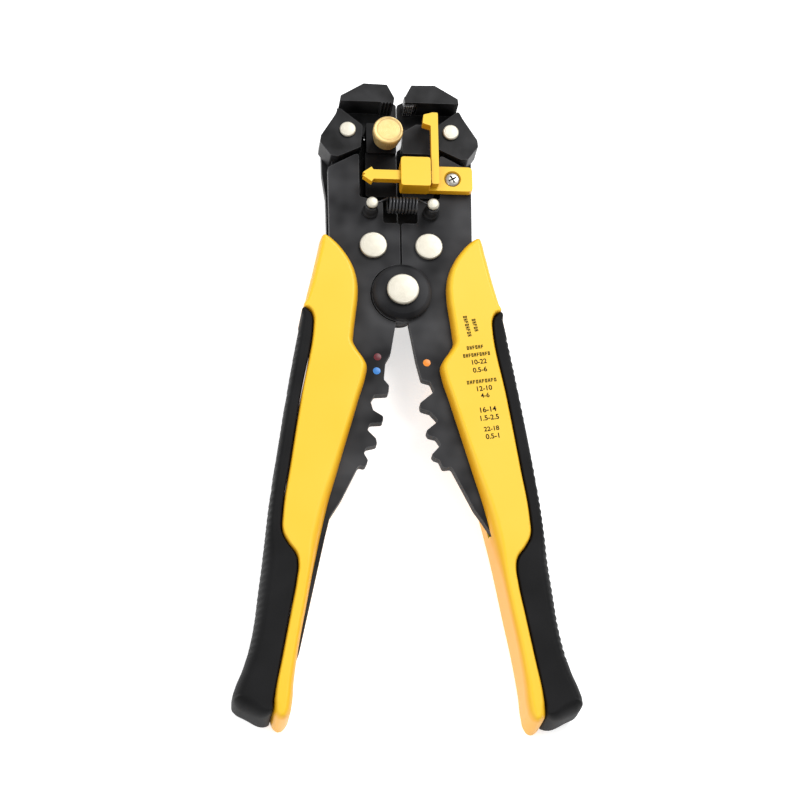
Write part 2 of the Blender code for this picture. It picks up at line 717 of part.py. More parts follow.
def make_stop_screw(holder):
    """The countersunk cross-head screw that holds the wire stop."""
    obj = turned("wire_stop_screw", [
        (0.0, 17.25), (SCREW_HEAD, 17.25), (SCREW_HEAD, 16.95), (SCREW_SHANK, 16.05),
        (SCREW_SHANK, 11.7), (0.0, 11.7),
    ], STOP_SCREW, NICKEL)  # fmt: skip
    x, y = STOP_SCREW
    arm, half = 1.35, 0.28
    across = plate("screw_slot_x", box_outline((x - arm, x + arm), (y - half, y + half)), (16.4, 18))
    up = plate("screw_slot_y", box_outline((x - half, x + half), (y - arm, y + arm)), (16.4, 18))
    cut(cut(obj, across), up)
    return place(smooth_round(obj), holder, STOP_SCREW)


# ---------------------------------------------------------------- grips


def make_grip(name, side, holder):
    """The moulded yellow grip, slotted for both tangs and rebated for its rubber."""
    right = GRIP_INNER + list(reversed(PARTING + GRIP_END_ARC)) + list(reversed(GRIP_OUTER))
    outline = mirrored(right, side)
    shell = plate(name + "_grip", outline, GRIP_Z, YELLOW, smooth=True)
    soften(shell, 3.0, 2)
    for plan, levels in (
        (mirrored(OPEN_SLOT if side < 0 else CLOSED_SLOT, side), FRONT_PLATE_Z),
        (mirrored(BACK_TANG_SLOT, side), BACK_PLATE_Z),
    ):
        slot = plate("tang_slot", plan, (levels[0] - GAP, levels[1] + GAP))
        cut(shell, slot)
    use_manifold_solver(shell)
    return place(shell, holder)


def make_overmould(name, side, holder):
    """The soft black rubber along the outside of the grip."""
    inner = [(x + PARTING_GAP[0], y + PARTING_GAP[1]) for x, y in PARTING]
    obj = plate(
        name + "_overmould", mirrored(inner + OVERMOULD_OUTER, side), OVERMOULD_Z, RUBBER,
        smooth=True,
    )  # fmt: skip
    return place(soften(obj, 2.4, 2), holder)


# ---------------------------------------------------------------- assembly


def make_half(name, side, holder):
    """Everything on one half of the tool."""
    pin = (side * JAW_PIN[0], JAW_PIN[1])
    link = (side * LINK_RIVET[0], LINK_RIVET[1])
    block = (side * BLOCK_RIVET[0], BLOCK_RIVET[1])
    make_front_plate(name + "_front_plate", side, holder)
    make_back_plate(name + "_back_plate", side, holder)
    make_rivet(
        name + "_link_rivet", LINK_SHAFT, LINK_HEAD, 15.7, 2.2, (3.2, 14.8), link, holder
    )
    make_rivet(name + "_jaw_pin", JAW_SHAFT, JAW_HEAD, 16.4, 2.4, (3.2, 15.8), pin, holder)
    make_block_rivet(name + "_block_rivet", block, holder)
    make_lower_jaw(name + "_lower_jaw", side, holder)
    make_post(name + "_spring_post", side, holder)
    jaw_holder = new_holder(name + "_jaw_axis", pin, holder)
    make_upper_jaw(name + "_upper_jaw", side, jaw_holder, pin)
    rocker_holder = new_holder(name + "_rocker_axis", link, holder)
    make_rocker(name + "_rocker", side, rocker_holder, link)
    make_grip(name, side, holder)
    make_overmould(name, side, holder)
    return jaw_holder, pin


def main():
    """Builds the tool with its handles open."""
    right_half = new_holder("right_half")
    left_half = new_holder("left_half")
    make_pivot(right_half)
    make_half("left", SIDES["left"], left_half)
    right_jaw, pin = make_half("right", SIDES["right"], right_half)
    make_upper_blades(right_jaw, pin)
    make_lower_blades(right_half)
    make_spring(left_half)
    stud = cylinder("adjust_stud", STUD, KNOB_AXIS, (10.0, 21.0), NICKEL, steps=24)
    place(smooth_round(stud), left_half, KNOB_AXIS)
    make_knob(left_half)
    make_stop_holder(right_half)
    make_stop_rod(right_half)
    make_stop_screw(right_half)
    for holder in (left_half, right_half):
        holder.location.y = PIVOT_Y * MM
    bpy.context.view_layer.update()


main()
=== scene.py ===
"""Looks of a self-adjusting wire stripper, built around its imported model.

Sizes inside the classes are millimetres; the one factor MM turns them into metres.
"""

import json
import logging
import math
from dataclasses import dataclass
from enum import Enum
from typing import NamedTuple

import bmesh
import bpy
import numpy as np
from mathutils import Matrix, Vector


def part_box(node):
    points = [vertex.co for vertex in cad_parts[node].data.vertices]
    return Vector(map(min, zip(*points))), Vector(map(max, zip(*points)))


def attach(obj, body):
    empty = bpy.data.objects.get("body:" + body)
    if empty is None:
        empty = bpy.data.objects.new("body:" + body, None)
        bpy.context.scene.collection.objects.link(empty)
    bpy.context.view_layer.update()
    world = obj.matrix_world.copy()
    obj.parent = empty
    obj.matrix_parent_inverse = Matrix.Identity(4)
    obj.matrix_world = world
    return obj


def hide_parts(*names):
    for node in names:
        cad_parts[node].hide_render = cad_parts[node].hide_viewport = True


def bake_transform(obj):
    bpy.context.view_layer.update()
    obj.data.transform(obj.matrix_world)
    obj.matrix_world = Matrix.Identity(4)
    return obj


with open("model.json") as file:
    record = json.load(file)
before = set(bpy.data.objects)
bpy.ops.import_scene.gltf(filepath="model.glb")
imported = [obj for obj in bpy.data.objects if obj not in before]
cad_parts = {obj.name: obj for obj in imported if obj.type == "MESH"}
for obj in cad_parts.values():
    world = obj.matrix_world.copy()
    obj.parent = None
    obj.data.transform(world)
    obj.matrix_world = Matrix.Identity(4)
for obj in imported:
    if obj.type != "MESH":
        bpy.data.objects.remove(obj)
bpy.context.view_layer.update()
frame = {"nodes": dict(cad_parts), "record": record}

MM = 0.001
LOG = logging.getLogger("wire_stripper")

Point = tuple[float, float]
Place = tuple[float, float, float]
Object = bpy.types.Object
Tree = bpy.types.NodeTree
Socket = bpy.types.NodeSocket

# Edges of every finish, lighter from abrasion and painted highlight, and painted shade in their
# corners.
EDGE_WEAR_AND_HIGHLIGHT_MM = 0.35
FLAT_MATCH, EDGE_MATCH = 0.995, 0.85
WEAR_AND_HIGHLIGHT_GAIN = 1.6
EDGE_BREAKUP_PER_MM = 1.6
CORNER_SHADE_MM = 1.5
OPEN_CORNER = 0.9
RAY_SAMPLES = 4
# Tone and gloss of every finish.
TONE_SHARE = 0.18
TONE_STOPS = (0.35, 0.7)
GLOSS_SPREAD = 0.07
# Scale of a wave texture whose rings stand 1 mm apart, and the grain mixed into them.
RING_SCALE = 0.314
RING_GRAIN_SHARE = 0.55
# Edges over this angle stay crisp, and faces within the other one become one face.
CRISP_DEGREES = 35.0
FLAT_DEGREES = 1.0
WELD_METRES = 1e-6
# A moulded rim: rings in its roll, and how far past the roll the flat face starts.
ROLL_RINGS = 8
ROLL_SUPPORT = 1.06
# A roll takes up this share of what fits before and after it is evened out.
ROLL_SHARE, EVEN_SHARE = 0.8, 0.9
EVEN_PASSES = 40


class Side(Enum):
    """The half of the tool a piece belongs to, with the sign of its X."""

    LEFT = -1
    RIGHT = 1

    @property
    def word(self) -> str:
        """The side's name as it starts the names of pieces."""
        return self.name.lower()

    @property
    def body(self) -> str:
        """The moving body of this half."""
        return f"{self.word}_half"


# ------------------------------------------------------------------ node helpers


def linear(hex_colour: str) -> tuple[float, float, float, float]:
    """Turns an sRGB hex colour into the linear colour that a shader takes.

    Args:
        hex_colour: Six hex digits, with or without a leading hash.

    Returns:
        Red, green, blue and an alpha of one.
    """
    digits = hex_colour.lstrip("#")
    values = [int(digits[i : i + 2], 16) / 255 for i in (0, 2, 4)]
    turned = [v / 12.92 if v <= 0.04045 else ((v + 0.055) / 1.055) ** 2.4 for v in values]
    return (*turned, 1.0)


def feed(node: bpy.types.Node, inputs: dict) -> None:
    """Gives a node's inputs their values or links.

    Args:
        node: The node.
        inputs: Input name or number to a value, or to the socket that feeds it.
    """
    for key, value in inputs.items():
        if isinstance(value, Socket):
            node.id_data.links.new(value, node.inputs[key])
        else:
            node.inputs[key].default_value = value


def add_node(
    tree: Tree, kind: str, inputs: dict | None = None, **settings: object
) -> bpy.types.Node:
    """Adds a shader node with its settings, values and links.

    Args:
        tree: The node tree that takes the node.
        kind: The shader node's type, without its family name.
        inputs: What its inputs get, as feed takes it.
        settings: Properties of the node itself.

    Returns:
        The new node.
    """
    node = tree.nodes.new("ShaderNode" + kind)
    for name, value in settings.items():
        setattr(node, name, value)
    feed(node, inputs or {})
    return node


def ramp(node: bpy.types.Node, stops: list[tuple[float, tuple]]) -> Socket:
    """Sets a colour ramp's stops.

    Args:
        node: The colour ramp.
        stops: Position and linear colour of each stop, lowest first.

    Returns:
        The ramp's colour output.
    """
    elements = node.color_ramp.elements
    while len(elements) < len(stops):
        elements.new(0.5)
    for element, (position, colour) in zip(elements, stops):
        element.position = position
        element.color = colour
    return node.outputs["Color"]


# ------------------------------------------------------------------ finishes


@dataclass(frozen=True)
class Finish:
    """A material: what it is made of and how its surface was made.

    Attributes:
        name: The finish's plain name.
        slot: The record's material slot. Not used.
        base: Main colour.
        worn_and_lit: Colour where the surface is abraded and where edge highlight is painted.
        roughness: Middle of the roughness range.
        metallic: One for bare or plated metal.
        grain_mm: Size of the surface's grain.
        bump_mm: Height of the grain.
        blotch_mm: Size of the slow change in tone.
        wear_and_highlight: How much of that colour shows on edges, as abrasion and painted
            highlight.
        sheen: Strength of the reflection off a skin that isn't metal.
        corner_shade: Painted shade that darkens corners and the undersides of heads.
    """

    name: str
    slot: str
    base: str
    worn_and_lit: str
    roughness: float
    metallic: float = 0.0
    grain_mm: float = 0.3
    bump_mm: float = 0.01
    blotch_mm: float = 9.0
    wear_and_highlight: float = 0.3
    sheen: float = 0.5
    corner_shade: float = 0.35

    def coordinates(self, tree: Tree) -> Socket:
        """The place of a point on the piece, in millimetres."""
        place = add_node(tree, "TexCoord")
        scaled = add_node(
            tree,
            "VectorMath",
            {0: place.outputs["Object"], "Scale": 1 / MM},
            operation="SCALE",
        )
        return scaled.outputs["Vector"]

    def edges(self, tree: Tree) -> Socket:
        """One where the surface turns sharply, zero on its flats."""
        rounded = add_node(tree, "Bevel", {"Radius": EDGE_WEAR_AND_HIGHLIGHT_MM * MM}, samples=RAY_SAMPLES)
        shape = add_node(tree, "NewGeometry")
        match = add_node(
            tree,
            "VectorMath",
            {0: rounded.outputs["Normal"], 1: shape.outputs["Normal"]},
            operation="DOT_PRODUCT",
        )
        span = add_node(
            tree,
            "MapRange",
            {"Value": match.outputs["Value"], "From Min": FLAT_MATCH, "From Max": EDGE_MATCH},
        )
        return span.outputs["Result"]

    def height(self, tree: Tree, place: Socket) -> Socket:
        """The surface's fine relief, as a height from zero to one."""
        grain = add_node(
            tree,
            "TexNoise",
            {"Vector": place, "Scale": 1 / self.grain_mm, "Detail": 4.0, "Roughness": 0.65},
        )
        return grain.outputs["Fac"]

    def tint(self, tree: Tree, place: Socket) -> Socket:
        """The base colour with its slow change in tone."""
        blotch = add_node(
            tree, "TexNoise", {"Vector": place, "Scale": 1 / self.blotch_mm}
        )
        low, high = linear(self.base), linear(self.worn_and_lit)
        lighter = tuple(a + TONE_SHARE * (b - a) for a, b in zip(low, high))
        tone = add_node(tree, "ValToRGB", {"Fac": blotch.outputs["Fac"]})
        return ramp(tone, list(zip(TONE_STOPS, (low, lighter))))

    def build(self) -> bpy.types.Material:
        """Makes the material once, and returns it again afterwards."""
        found = bpy.data.materials.get(self.name)
        if found:
            return found
        material = bpy.data.materials.new(self.name)
        material.use_nodes = True
        tree = material.node_tree
        shader = tree.nodes["Principled BSDF"]
        place = self.coordinates(tree)
        relief = self.height(tree, place)
        # Edges turn lighter, partly from abrasion and partly as painted edge highlight, broken up
        # by noise.
        edge_breakup = add_node(
            tree,
            "TexNoise",
            {"Vector": place, "Scale": EDGE_BREAKUP_PER_MM, "Detail": 6.0, "Roughness": 0.7},
        )
        edge_wear_and_highlight = add_node(
            tree,
            "Math",
            {0: self.edges(tree), 1: edge_breakup.outputs["Fac"]},
            operation="MULTIPLY",
        )
        amount = add_node(
            tree, "Math", {0: edge_wear_and_highlight.outputs[0], 1: self.wear_and_highlight * WEAR_AND_HIGHLIGHT_GAIN},
            operation="MULTIPLY", use_clamp=True,
        )  # fmt: skip
        colour = add_node(
            tree, "Mix",
            {"Factor": amount.outputs[0], 6: self.tint(tree, place), 7: linear(self.worn_and_lit)},
            data_type="RGBA",
        )  # fmt: skip
        gloss = add_node(
            tree, "MapRange",
            {
                "Value": relief, "To Min": self.roughness - GLOSS_SPREAD,
                "To Max": self.roughness + GLOSS_SPREAD,
            },
        )  # fmt: skip
        bump = add_node(
            tree, "Bump",
            {"Height": relief, "Distance": self.bump_mm * MM, "Strength": 1.0},
        )  # fmt: skip
        # Painted shade: ambient occlusion darkens the colour in corners, recesses and under heads.
        corner = add_node(
            tree, "AmbientOcclusion", {"Distance": CORNER_SHADE_MM * MM},
            samples=RAY_SAMPLES,
        )  # fmt: skip
        painted_corner_shade = add_node(
            tree, "MapRange",
            {"Value": corner.outputs["AO"], "From Max": OPEN_CORNER, "To Min": 1 - self.corner_shade},
        )  # fmt: skip
        shaded = add_node(
            tree, "VectorMath", {0: colour.outputs[2], "Scale": painted_corner_shade.outputs[0]},
            operation="SCALE",
        )  # fmt: skip
        skin = {
            "Base Color": shaded.outputs[0], "Roughness": gloss.outputs["Result"],
            "Normal": bump.outputs["Normal"], "Metallic": self.metallic,
            "Specular IOR Level": self.sheen,
        }  # fmt: skip
        feed(shader, skin | self.extras())
        material.diffuse_color = linear(self.base)
        return material

    def extras(self) -> dict[str, float]:
        """The shader inputs that only this kind of finish sets."""
        return {}

    def dress(self, obj: Object) -> None:
        """Puts this finish on a piece, in place of what it had."""
        obj.data.materials.clear()
        obj.data.materials.append(self.build())


@dataclass(frozen=True)
class MouldedPlastic(Finish):
    """Injection-moulded polypropylene: a soft satin skin over an even, deep colour.

    Attributes:
        side_shade: Deeper orange painted as shade on the sides that turn down.
        side_shade_share: How much of that painted shade shows on an upright side.
        facing: How far upwards a face and a side look, as the upward part of their normals.
        index: Refractive index of the plastic.
        coat: Strength and roughness of the skin's gloss.
    """

    side_shade: str = "#e8990f"
    side_shade_share: float = 0.7
    facing: Point = (0.95, 0.25)
    index: float = 1.49
    coat: Point = (0.12, 0.35)

    def tint(self, tree: Tree, place: Socket) -> Socket:
        """The face colour, with painted shade deepening it towards the side shade colour where the
        surface turns down.
        """
        face = super().tint(tree, place)
        shape = add_node(tree, "NewGeometry")
        upward = add_node(tree, "SeparateXYZ", {0: shape.outputs["Normal"]})
        # Painted shade: the colour deepens as the surface normal turns away from upward.
        deep = add_node(
            tree, "MapRange",
            {
                "Value": upward.outputs["Z"], "From Min": self.facing[0],
                "From Max": self.facing[1], "To Max": self.side_shade_share,
            },
        )  # fmt: skip
        both = add_node(
            tree, "Mix",
            {"Factor": deep.outputs[0], 6: face, 7: linear(self.side_shade)}, data_type="RGBA",
        )  # fmt: skip
        return both.outputs[2]

    def extras(self) -> dict[str, float]:
        """A moulded plastic's index and the thin gloss of its skin."""
        weight, roughness = self.coat
        return {"IOR": self.index, "Coat Weight": weight, "Coat Roughness": roughness}


@dataclass(frozen=True)
class TurnedMetal(Finish):
    """Metal faced on a lathe: fine rings round the axis, which stretch its highlights.

    Attributes:
        ring_mm: Distance between tool marks.
    """

    ring_mm: float = 0.35

    def height(self, tree: Tree, place: Socket) -> Socket:
        """Tool marks broken up by grain."""
        rings = add_node(
            tree,
            "TexWave",
            {
                "Vector": place,
                "Scale": RING_SCALE / self.ring_mm,
                "Distortion": 0.6,
                "Detail": 2.0,
            },
            wave_type="RINGS",
            rings_direction="Z",
        )
        grain = add_node(
            tree, "TexNoise", {"Vector": place, "Scale": 1 / self.grain_mm}
        )
        both = add_node(
            tree, "Mix",
            {"Factor": RING_GRAIN_SHARE, 2: rings.outputs["Fac"], 3: grain.outputs["Fac"]},
        )  # fmt: skip
        return both.outputs[0]


# Hot-blackened sheet steel: charcoal with a grey bloom, and bare metal on abraded edges that is
# partly painted edge highlight.
BLACK_OXIDE = Finish(
    "black_oxide_steel_satin", "front_steel", "#19191b", "#8d8d90", 0.5, 0.0,
    grain_mm=0.35, bump_mm=0.008, blotch_mm=14.0, wear_and_highlight=0.35, sheen=0.12,
)  # fmt: skip
# The jaws' steel, blackened twice and oiled: darker, with paler corners from abrasion and painted
# highlight.
JAW_STEEL = Finish(
    "black_oxide_steel_jaw", "front_steel", "#0b0b0c", "#6a6a6d", 0.38, 0.0,
    grain_mm=0.3, bump_mm=0.01, blotch_mm=8.0, wear_and_highlight=0.45, sheen=0.12,
)  # fmt: skip
# The same steel on the inner parts, painted darker as the shade they lie in between and under the
# other parts.
SHADED_INNER_STEEL = Finish(
    "black_oxide_steel_shaded", "inner_steel", "#080809", "#38383a", 0.42, 0.0,
    grain_mm=0.4, bump_mm=0.006, wear_and_highlight=0.3, sheen=0.1,
)  # fmt: skip
# Matt nickel plating on turned steel: a warm, almost white metal.
SATIN_NICKEL = TurnedMetal(
    "nickel_plate_satin", "rivets", "#c6c1b2", "#ebe7dc", 0.42, 0.6,
    grain_mm=0.6, bump_mm=0.03, blotch_mm=1.6, ring_mm=0.45, corner_shade=0.6,
)  # fmt: skip
# Bright zinc plating of the screw, with painted shade darkening its recess.
SCREW_STEEL = TurnedMetal(
    "zinc_plate_bright", "rivets", "#b9b6ae", "#f0eee8", 0.3, 0.85,
    grain_mm=0.4, bump_mm=0.02, blotch_mm=1.0, ring_mm=0.4, corner_shade=0.85,
)  # fmt: skip
# Free-cutting brass: soft yellow with fine tool rings on its face.
TURNED_BRASS = TurnedMetal(
    "brass_turned", "brass", "#cdae70", "#f0dca8", 0.4, 0.65,
    grain_mm=0.45, bump_mm=0.03, blotch_mm=1.3, wear_and_highlight=0.5, ring_mm=0.5, corner_shade=0.5,
)  # fmt: skip
# Ground tool steel of the blades: bright on its edges, partly as painted edge highlight, with a
# cold sheen.
GROUND_STEEL = Finish(
    "tool_steel_ground", "blades", "#3c3c3f", "#e8e8ea", 0.34, 0.5, grain_mm=0.2, wear_and_highlight=1.0,
)  # fmt: skip
# Yellow polypropylene: even and deep, with orange painted as shade on its downturned sides.
YELLOW_PLASTIC = MouldedPlastic(
    "polypropylene_yellow_moulded", "yellow_plastic", "#f9c91f", "#ffe05a", 0.42, 0.0,
    grain_mm=0.5, bump_mm=0.008, blotch_mm=30.0, wear_and_highlight=0.3, sheen=0.4, corner_shade=0.3,
)  # fmt: skip
# Thermoplastic rubber, spark-textured in the mould: dull black that scatters light.
BLACK_RUBBER = Finish(
    "thermoplastic_rubber_black", "black_rubber", "#121213", "#3a3a3c", 0.6, 0.0,
    grain_mm=0.45, bump_mm=0.03, blotch_mm=18.0, wear_and_highlight=0.35, sheen=0.13,
)  # fmt: skip
# Oil-hardened music wire: dark with a hard highlight along each turn.
MUSIC_WIRE = Finish(
    "music_wire_black", "spring_steel", "#1b1b1d", "#808085", 0.28, 0.3, grain_mm=0.3,
)  # fmt: skip
# Pad-printed ink: flat black, a little thin at its edges.
PRINT_INK = Finish(
    "pad_print_black", "black_rubber", "#0d0b09", "#2a261e", 0.7, wear_and_highlight=0.0, sheen=0.15, corner_shade=0.0,
)  # fmt: skip
# Enamel of the three round marks beside the crimping nests.
DOT_FINISHES = {
    "crimson": Finish("enamel_crimson", "yellow_plastic", "#5e0d1b", "#a02a3c", 0.35),
    "blue": Finish("enamel_blue", "yellow_plastic", "#2f7fd0", "#69a9ec", 0.35),
    "orange": Finish("enamel_orange", "yellow_plastic", "#f08a1c", "#ffb15a", 0.35),
}


# ------------------------------------------------------------------ shape helpers


def axis_of(joint: str) -> Point:
    """The plan place of a hinge, in millimetres.

    Args:
        joint: Name of the joint.

    Returns:
        Its X and Y.
    """
    for entry in frame["record"]["behaviour"]["joints"]:
        if entry["name"] == joint:
            return (entry["pos_m"][0] / MM, entry["pos_m"][1] / MM)
    raise KeyError(joint)


PIVOT = axis_of("squeeze")


def link(obj: Object) -> Object:
    """Puts an object in the scene."""
    bpy.context.scene.collection.objects.link(obj)
    return obj


def baked(obj: Object) -> bpy.types.Mesh:
    """The mesh an object comes to with its modifiers and bevels applied."""
    bpy.context.view_layer.update()
    return bpy.data.meshes.new_from_object(
        obj.evaluated_get(bpy.context.evaluated_depsgraph_get())
    )


def finished(
    obj: Object, finish: Finish, body: str, *nodes: str, sharp: float = CRISP_DEGREES
) -> Object:
    """Dresses a new piece and ties it to its body and hidden nodes.

    Args:
        obj: The piece.
        finish: Its material.
        body: The body it moves with.
        nodes: The plain solids it stands for.
        sharp: Edges over this angle, in degrees, stay crisp.

    Returns:
        The piece.
    """
    finish.dress(obj)
    if obj.type == "MESH":
        obj.data.shade_smooth()
        obj.data.set_sharp_from_angle(angle=math.radians(sharp))
    if nodes:
        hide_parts(*nodes)
    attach(obj, body)
    LOG.info("%s rides on %s", obj.name, body)
    return obj


def mesh_piece(name: str, work: bmesh.types.BMesh) -> Object:
    """Turns a worked mesh in millimetres into an object in metres."""
    bmesh.ops.recalc_face_normals(work, faces=work.faces)
    bmesh.ops.scale(work, vec=(MM, MM, MM), verts=work.verts)
    mesh = bpy.data.meshes.new(name)
    work.to_mesh(mesh)
    work.free()
    return link(bpy.data.objects.new(name, mesh))


def middle(low: Vector, high: Vector) -> Point:
    """The plan middle of a box."""
    return ((high.x + low.x) / 2, (high.y + low.y) / 2)


class Knurl(NamedTuple):
    """Teeth round a rim: their lowest and highest level, number and depth."""

    low: float
    high: float
    teeth: int
    depth: float


def turned_piece(
    name: str,
    profile: list[Point],
    centre: Point,
    steps: int = 72,
    knurl: Knurl | None = None,
) -> Object:
    """A turned piece about an upright axis.

    Args:
        name: The piece's name.
        profile: Radius and height from the top of the axis round to its bottom, in millimetres.
            A profile that starts off the axis is closed into a ring.
        centre: Plan place of the axis.
        steps: Facets round the axis.
        knurl: The teeth cut in its rim.

    Returns:
        The piece.
    """
    work = bmesh.new()
    rings = []
    for radius, height in profile:
        if radius == 0.0:
            rings.append([work.verts.new((0.0, 0.0, height))])
            continue
        ring = []
        for step in range(steps):
            angle = math.tau * step / steps
            reach = radius
            if knurl and knurl.low <= height <= knurl.high:
                reach -= knurl.depth * (0.5 - 0.5 * math.cos(angle * knurl.teeth))
            ring.append(work.verts.new((reach * math.cos(angle), reach * math.sin(angle), height)))
        rings.append(ring)
    if len(rings[0]) > 1:
        rings.append(rings[0])
    for upper, lower in zip(rings, rings[1:]):
        for step in range(steps):
            after = (step + 1) % steps
            corners = [upper[step % len(upper)], upper[after % len(upper)]]
            corners += [lower[after % len(lower)], lower[step % len(lower)]]
            work.faces.new(list(dict.fromkeys(corners)))
    bmesh.ops.translate(work, vec=(centre[0], centre[1], 0.0), verts=work.verts)
    piece = mesh_piece(name, work)
    return recentred(piece, centre)


def recentred(piece: Object, centre: Point) -> Object:
    """Moves a piece's origin to its own axis, so that turned patterns centre on it."""
    offset = Vector((centre[0] * MM, centre[1] * MM, 0.0))
    piece.data.transform(Matrix.Translation(-offset))
    piece.location = offset
    return piece


def smooth_outline(points: list[Point], per_span: int) -> list[Point]:
    """A closed smooth curve through given points, as a dense outline.

    Args:
        points: The knots, in order.
        per_span: Points made for each span.

    Returns:
        The dense outline.
    """
    curve = bpy.data.curves.new("outline", "CURVE")
    curve.dimensions = "2D"
    curve.resolution_u = per_span
    spline = curve.splines.new("BEZIER")
    spline.bezier_points.add(len(points) - 1)
    for knot, (x, y) in zip(spline.bezier_points, points):
        knot.co = (x, y, 0.0)
        knot.handle_left_type = knot.handle_right_type = "AUTO"
    spline.use_cyclic_u = True
    holder = link(bpy.data.objects.new("outline", curve))
    mesh = baked(holder)
    dense = [(vertex.co.x, vertex.co.y) for vertex in mesh.vertices]
    bpy.data.meshes.remove(mesh)
    bpy.data.objects.remove(holder)
    bpy.data.curves.remove(curve)
    return dense


def inward(outline: list[Point], distance: float) -> list[Point]:
    """The outline moved inwards along its own normals."""
    count = len(outline)
    area = sum(
        outline[i][0] * outline[(i + 1) % count][1] - outline[(i + 1) % count][0] * outline[i][1]
        for i in range(count)
    )
    sign = 1.0 if area > 0 else -1.0
    moved = []
    for i, (x, y) in enumerate(outline):
        before, after = outline[i - 1], outline[(i + 1) % count]
        along = Vector((after[0] - before[0], after[1] - before[1])).normalized()
        moved.append((x - sign * along.y * distance, y + sign * along.x * distance))
    return moved


def roll_widths(outline: list[Point], wanted: list[float]) -> list[float]:
    """Narrows the roll of a rim where the piece is too slim for it, and evens the result out.

    Args:
        outline: Dense plan outline.
        wanted: The roll wanted at each of its points.

    Returns:
        The roll that fits at each point.
    """
    points = np.array(outline)
    normals = np.array(inward(outline, 1.0)) - points
    across = points[None] - points[:, None]
    toward = np.einsum("ijk,ik->ij", across, normals)
    squared = (across**2).sum(axis=2)
    fits = np.where(toward > 1e-6, squared / np.maximum(2 * toward, 1e-9), np.inf)
    widths = np.minimum(np.array(wanted), ROLL_SHARE * fits.min(axis=1))
    for _ in range(EVEN_PASSES):
        widths = (np.roll(widths, 1) + 2 * widths + np.roll(widths, -1)) / 4
        widths = np.minimum(widths, EVEN_SHARE * fits.min(axis=1))
    return list(widths)


def rounded_slab(
    name: str,
    outline: list[Point],
    levels: Point,
    across: list[float],
    steepness: float,
    grooves: list[float] | None = None,
) -> Object:
    """A slab whose rims roll over in a quarter ellipse, as a moulded grip's do.

    Args:
        name: The piece's name.
        outline: Dense plan outline, in millimetres.
        levels: Lowest and highest level.
        across: Width of the roll in plan at each point of the outline.
        steepness: Height of the roll over its width.
        grooves: Depth cut into the side at each point, running out towards the faces.

    Returns:
        The piece.
    """
    cuts = grooves or [0.0] * len(outline)
    normals = [(a - x, b - y) for (x, y), (a, b) in zip(outline, inward(outline, 1.0))]
    turns = [math.pi / 2 * step / ROLL_RINGS for step in range(ROLL_RINGS + 1)]
    rolls = [(ROLL_SUPPORT, 0.0)] + [(1 - math.cos(t), 1 - math.sin(t)) for t in reversed(turns)]
    work = bmesh.new()
    loops = []
    for upper in (True, False):
        for inset, drop in rolls if upper else list(reversed(rolls)):
            loop = []
            for (x, y), (nx, ny), width, cut in zip(outline, normals, across, cuts):
                reach = width * inset + cut * max(0.0, 1 - inset)
                fall = steepness * width * drop
                height = levels[1] - fall if upper else levels[0] + fall
                loop.append(work.verts.new((x + nx * reach, y + ny * reach, height)))
            loops.append(loop)
    for above, below in zip(loops, loops[1:]):
        for i in range(len(outline)):
            j = (i + 1) % len(outline)
            work.faces.new((above[i], above[j], below[j], below[i]))
    work.faces.new(loops[0])
    work.faces.new(list(reversed(loops[-1])))
    return mesh_piece(name, work)


def cut_slot(piece: Object, plan: list[Point], levels: Point) -> None:
    """Cuts a flat slot through a piece and applies it.

    Args:
        piece: The piece to cut.
        plan: Plan corners of the slot.
        levels: Its lowest and highest level.
    """
    work = bmesh.new()
    floor = work.faces.new([work.verts.new((x, y, levels[0])) for x, y in plan])
    raised = bmesh.ops.extrude_face_region(work, geom=[floor])["geom"]
    upper = [item for item in raised if isinstance(item, bmesh.types.BMVert)]
    bmesh.ops.translate(work, vec=(0.0, 0.0, levels[1] - levels[0]), verts=upper)
    cutter = mesh_piece("slot_cutter", work)
    boolean = piece.modifiers.new("slot", "BOOLEAN")
    boolean.operation = "DIFFERENCE"
    boolean.solver = "MANIFOLD"
    boolean.object = cutter
    cut_mesh = baked(piece)
    piece.modifiers.clear()
    piece.data = cut_mesh
    bpy.data.objects.remove(cutter)


def about_pivot(points: list[Point], side: Side) -> list[Point]:
    """Right-side plan points from the pivot, carried to a side and to the model's frame."""
    return [(side.value * x + PIVOT[0], y + PIVOT[1]) for x, y in points]


# ------------------------------------------------------------------ sub-assemblies


@dataclass
class SheetParts:
    """The flat steel pieces, which keep their solids and get broken edges and their finish.

    Attributes:
        width: Width of a broken edge, in millimetres.
        groups: Each steel with the solids made of it.
    """

    width: float = 0.25
    groups: tuple[tuple[Finish, tuple[str, ...]], ...] = (
        (BLACK_OXIDE, ("left_front_plate", "right_front_plate", "right_lower_jaw")),
        (JAW_STEEL, ("left_back_plate", "right_back_plate", "left_upper_jaw", "right_upper_jaw")),
        (SHADED_INNER_STEEL, ("left_rocker", "right_rocker", "left_lower_jaw")),
    )  # fmt: skip

    def build(self) -> None:
        """Breaks the edges of each solid and gives it its steel."""
        for finish, names in self.groups:
            for name in names:
                self.break_edges(frame["nodes"][name], self.width)
                finish.dress(frame["nodes"][name])
                LOG.info("%s dressed", name)

    @staticmethod
    def break_edges(node: Object, width: float, segments: int = 2) -> None:
        """Welds, flattens and rounds a solid's edges with modifiers only.

        Args:
            node: The solid.
            width: Width of the rounding, in millimetres.
            segments: Steps in the rounding.
        """
        weld = node.modifiers.new("weld", "WELD")
        weld.merge_threshold = WELD_METRES
        flatten = node.modifiers.new("flatten", "DECIMATE")
        flatten.decimate_type = "DISSOLVE"
        flatten.angle_limit = math.radians(FLAT_DEGREES)
        bevel = node.modifiers.new("break_edges", "BEVEL")
        bevel.width = width * MM
        bevel.segments = segments
        bevel.limit_method = "ANGLE"
        bevel.angle_limit = math.radians(CRISP_DEGREES)
        bevel.harden_normals = False
        node.modifiers.new("weighted", "WEIGHTED_NORMAL").keep_sharp = True
        node.data.shade_smooth()


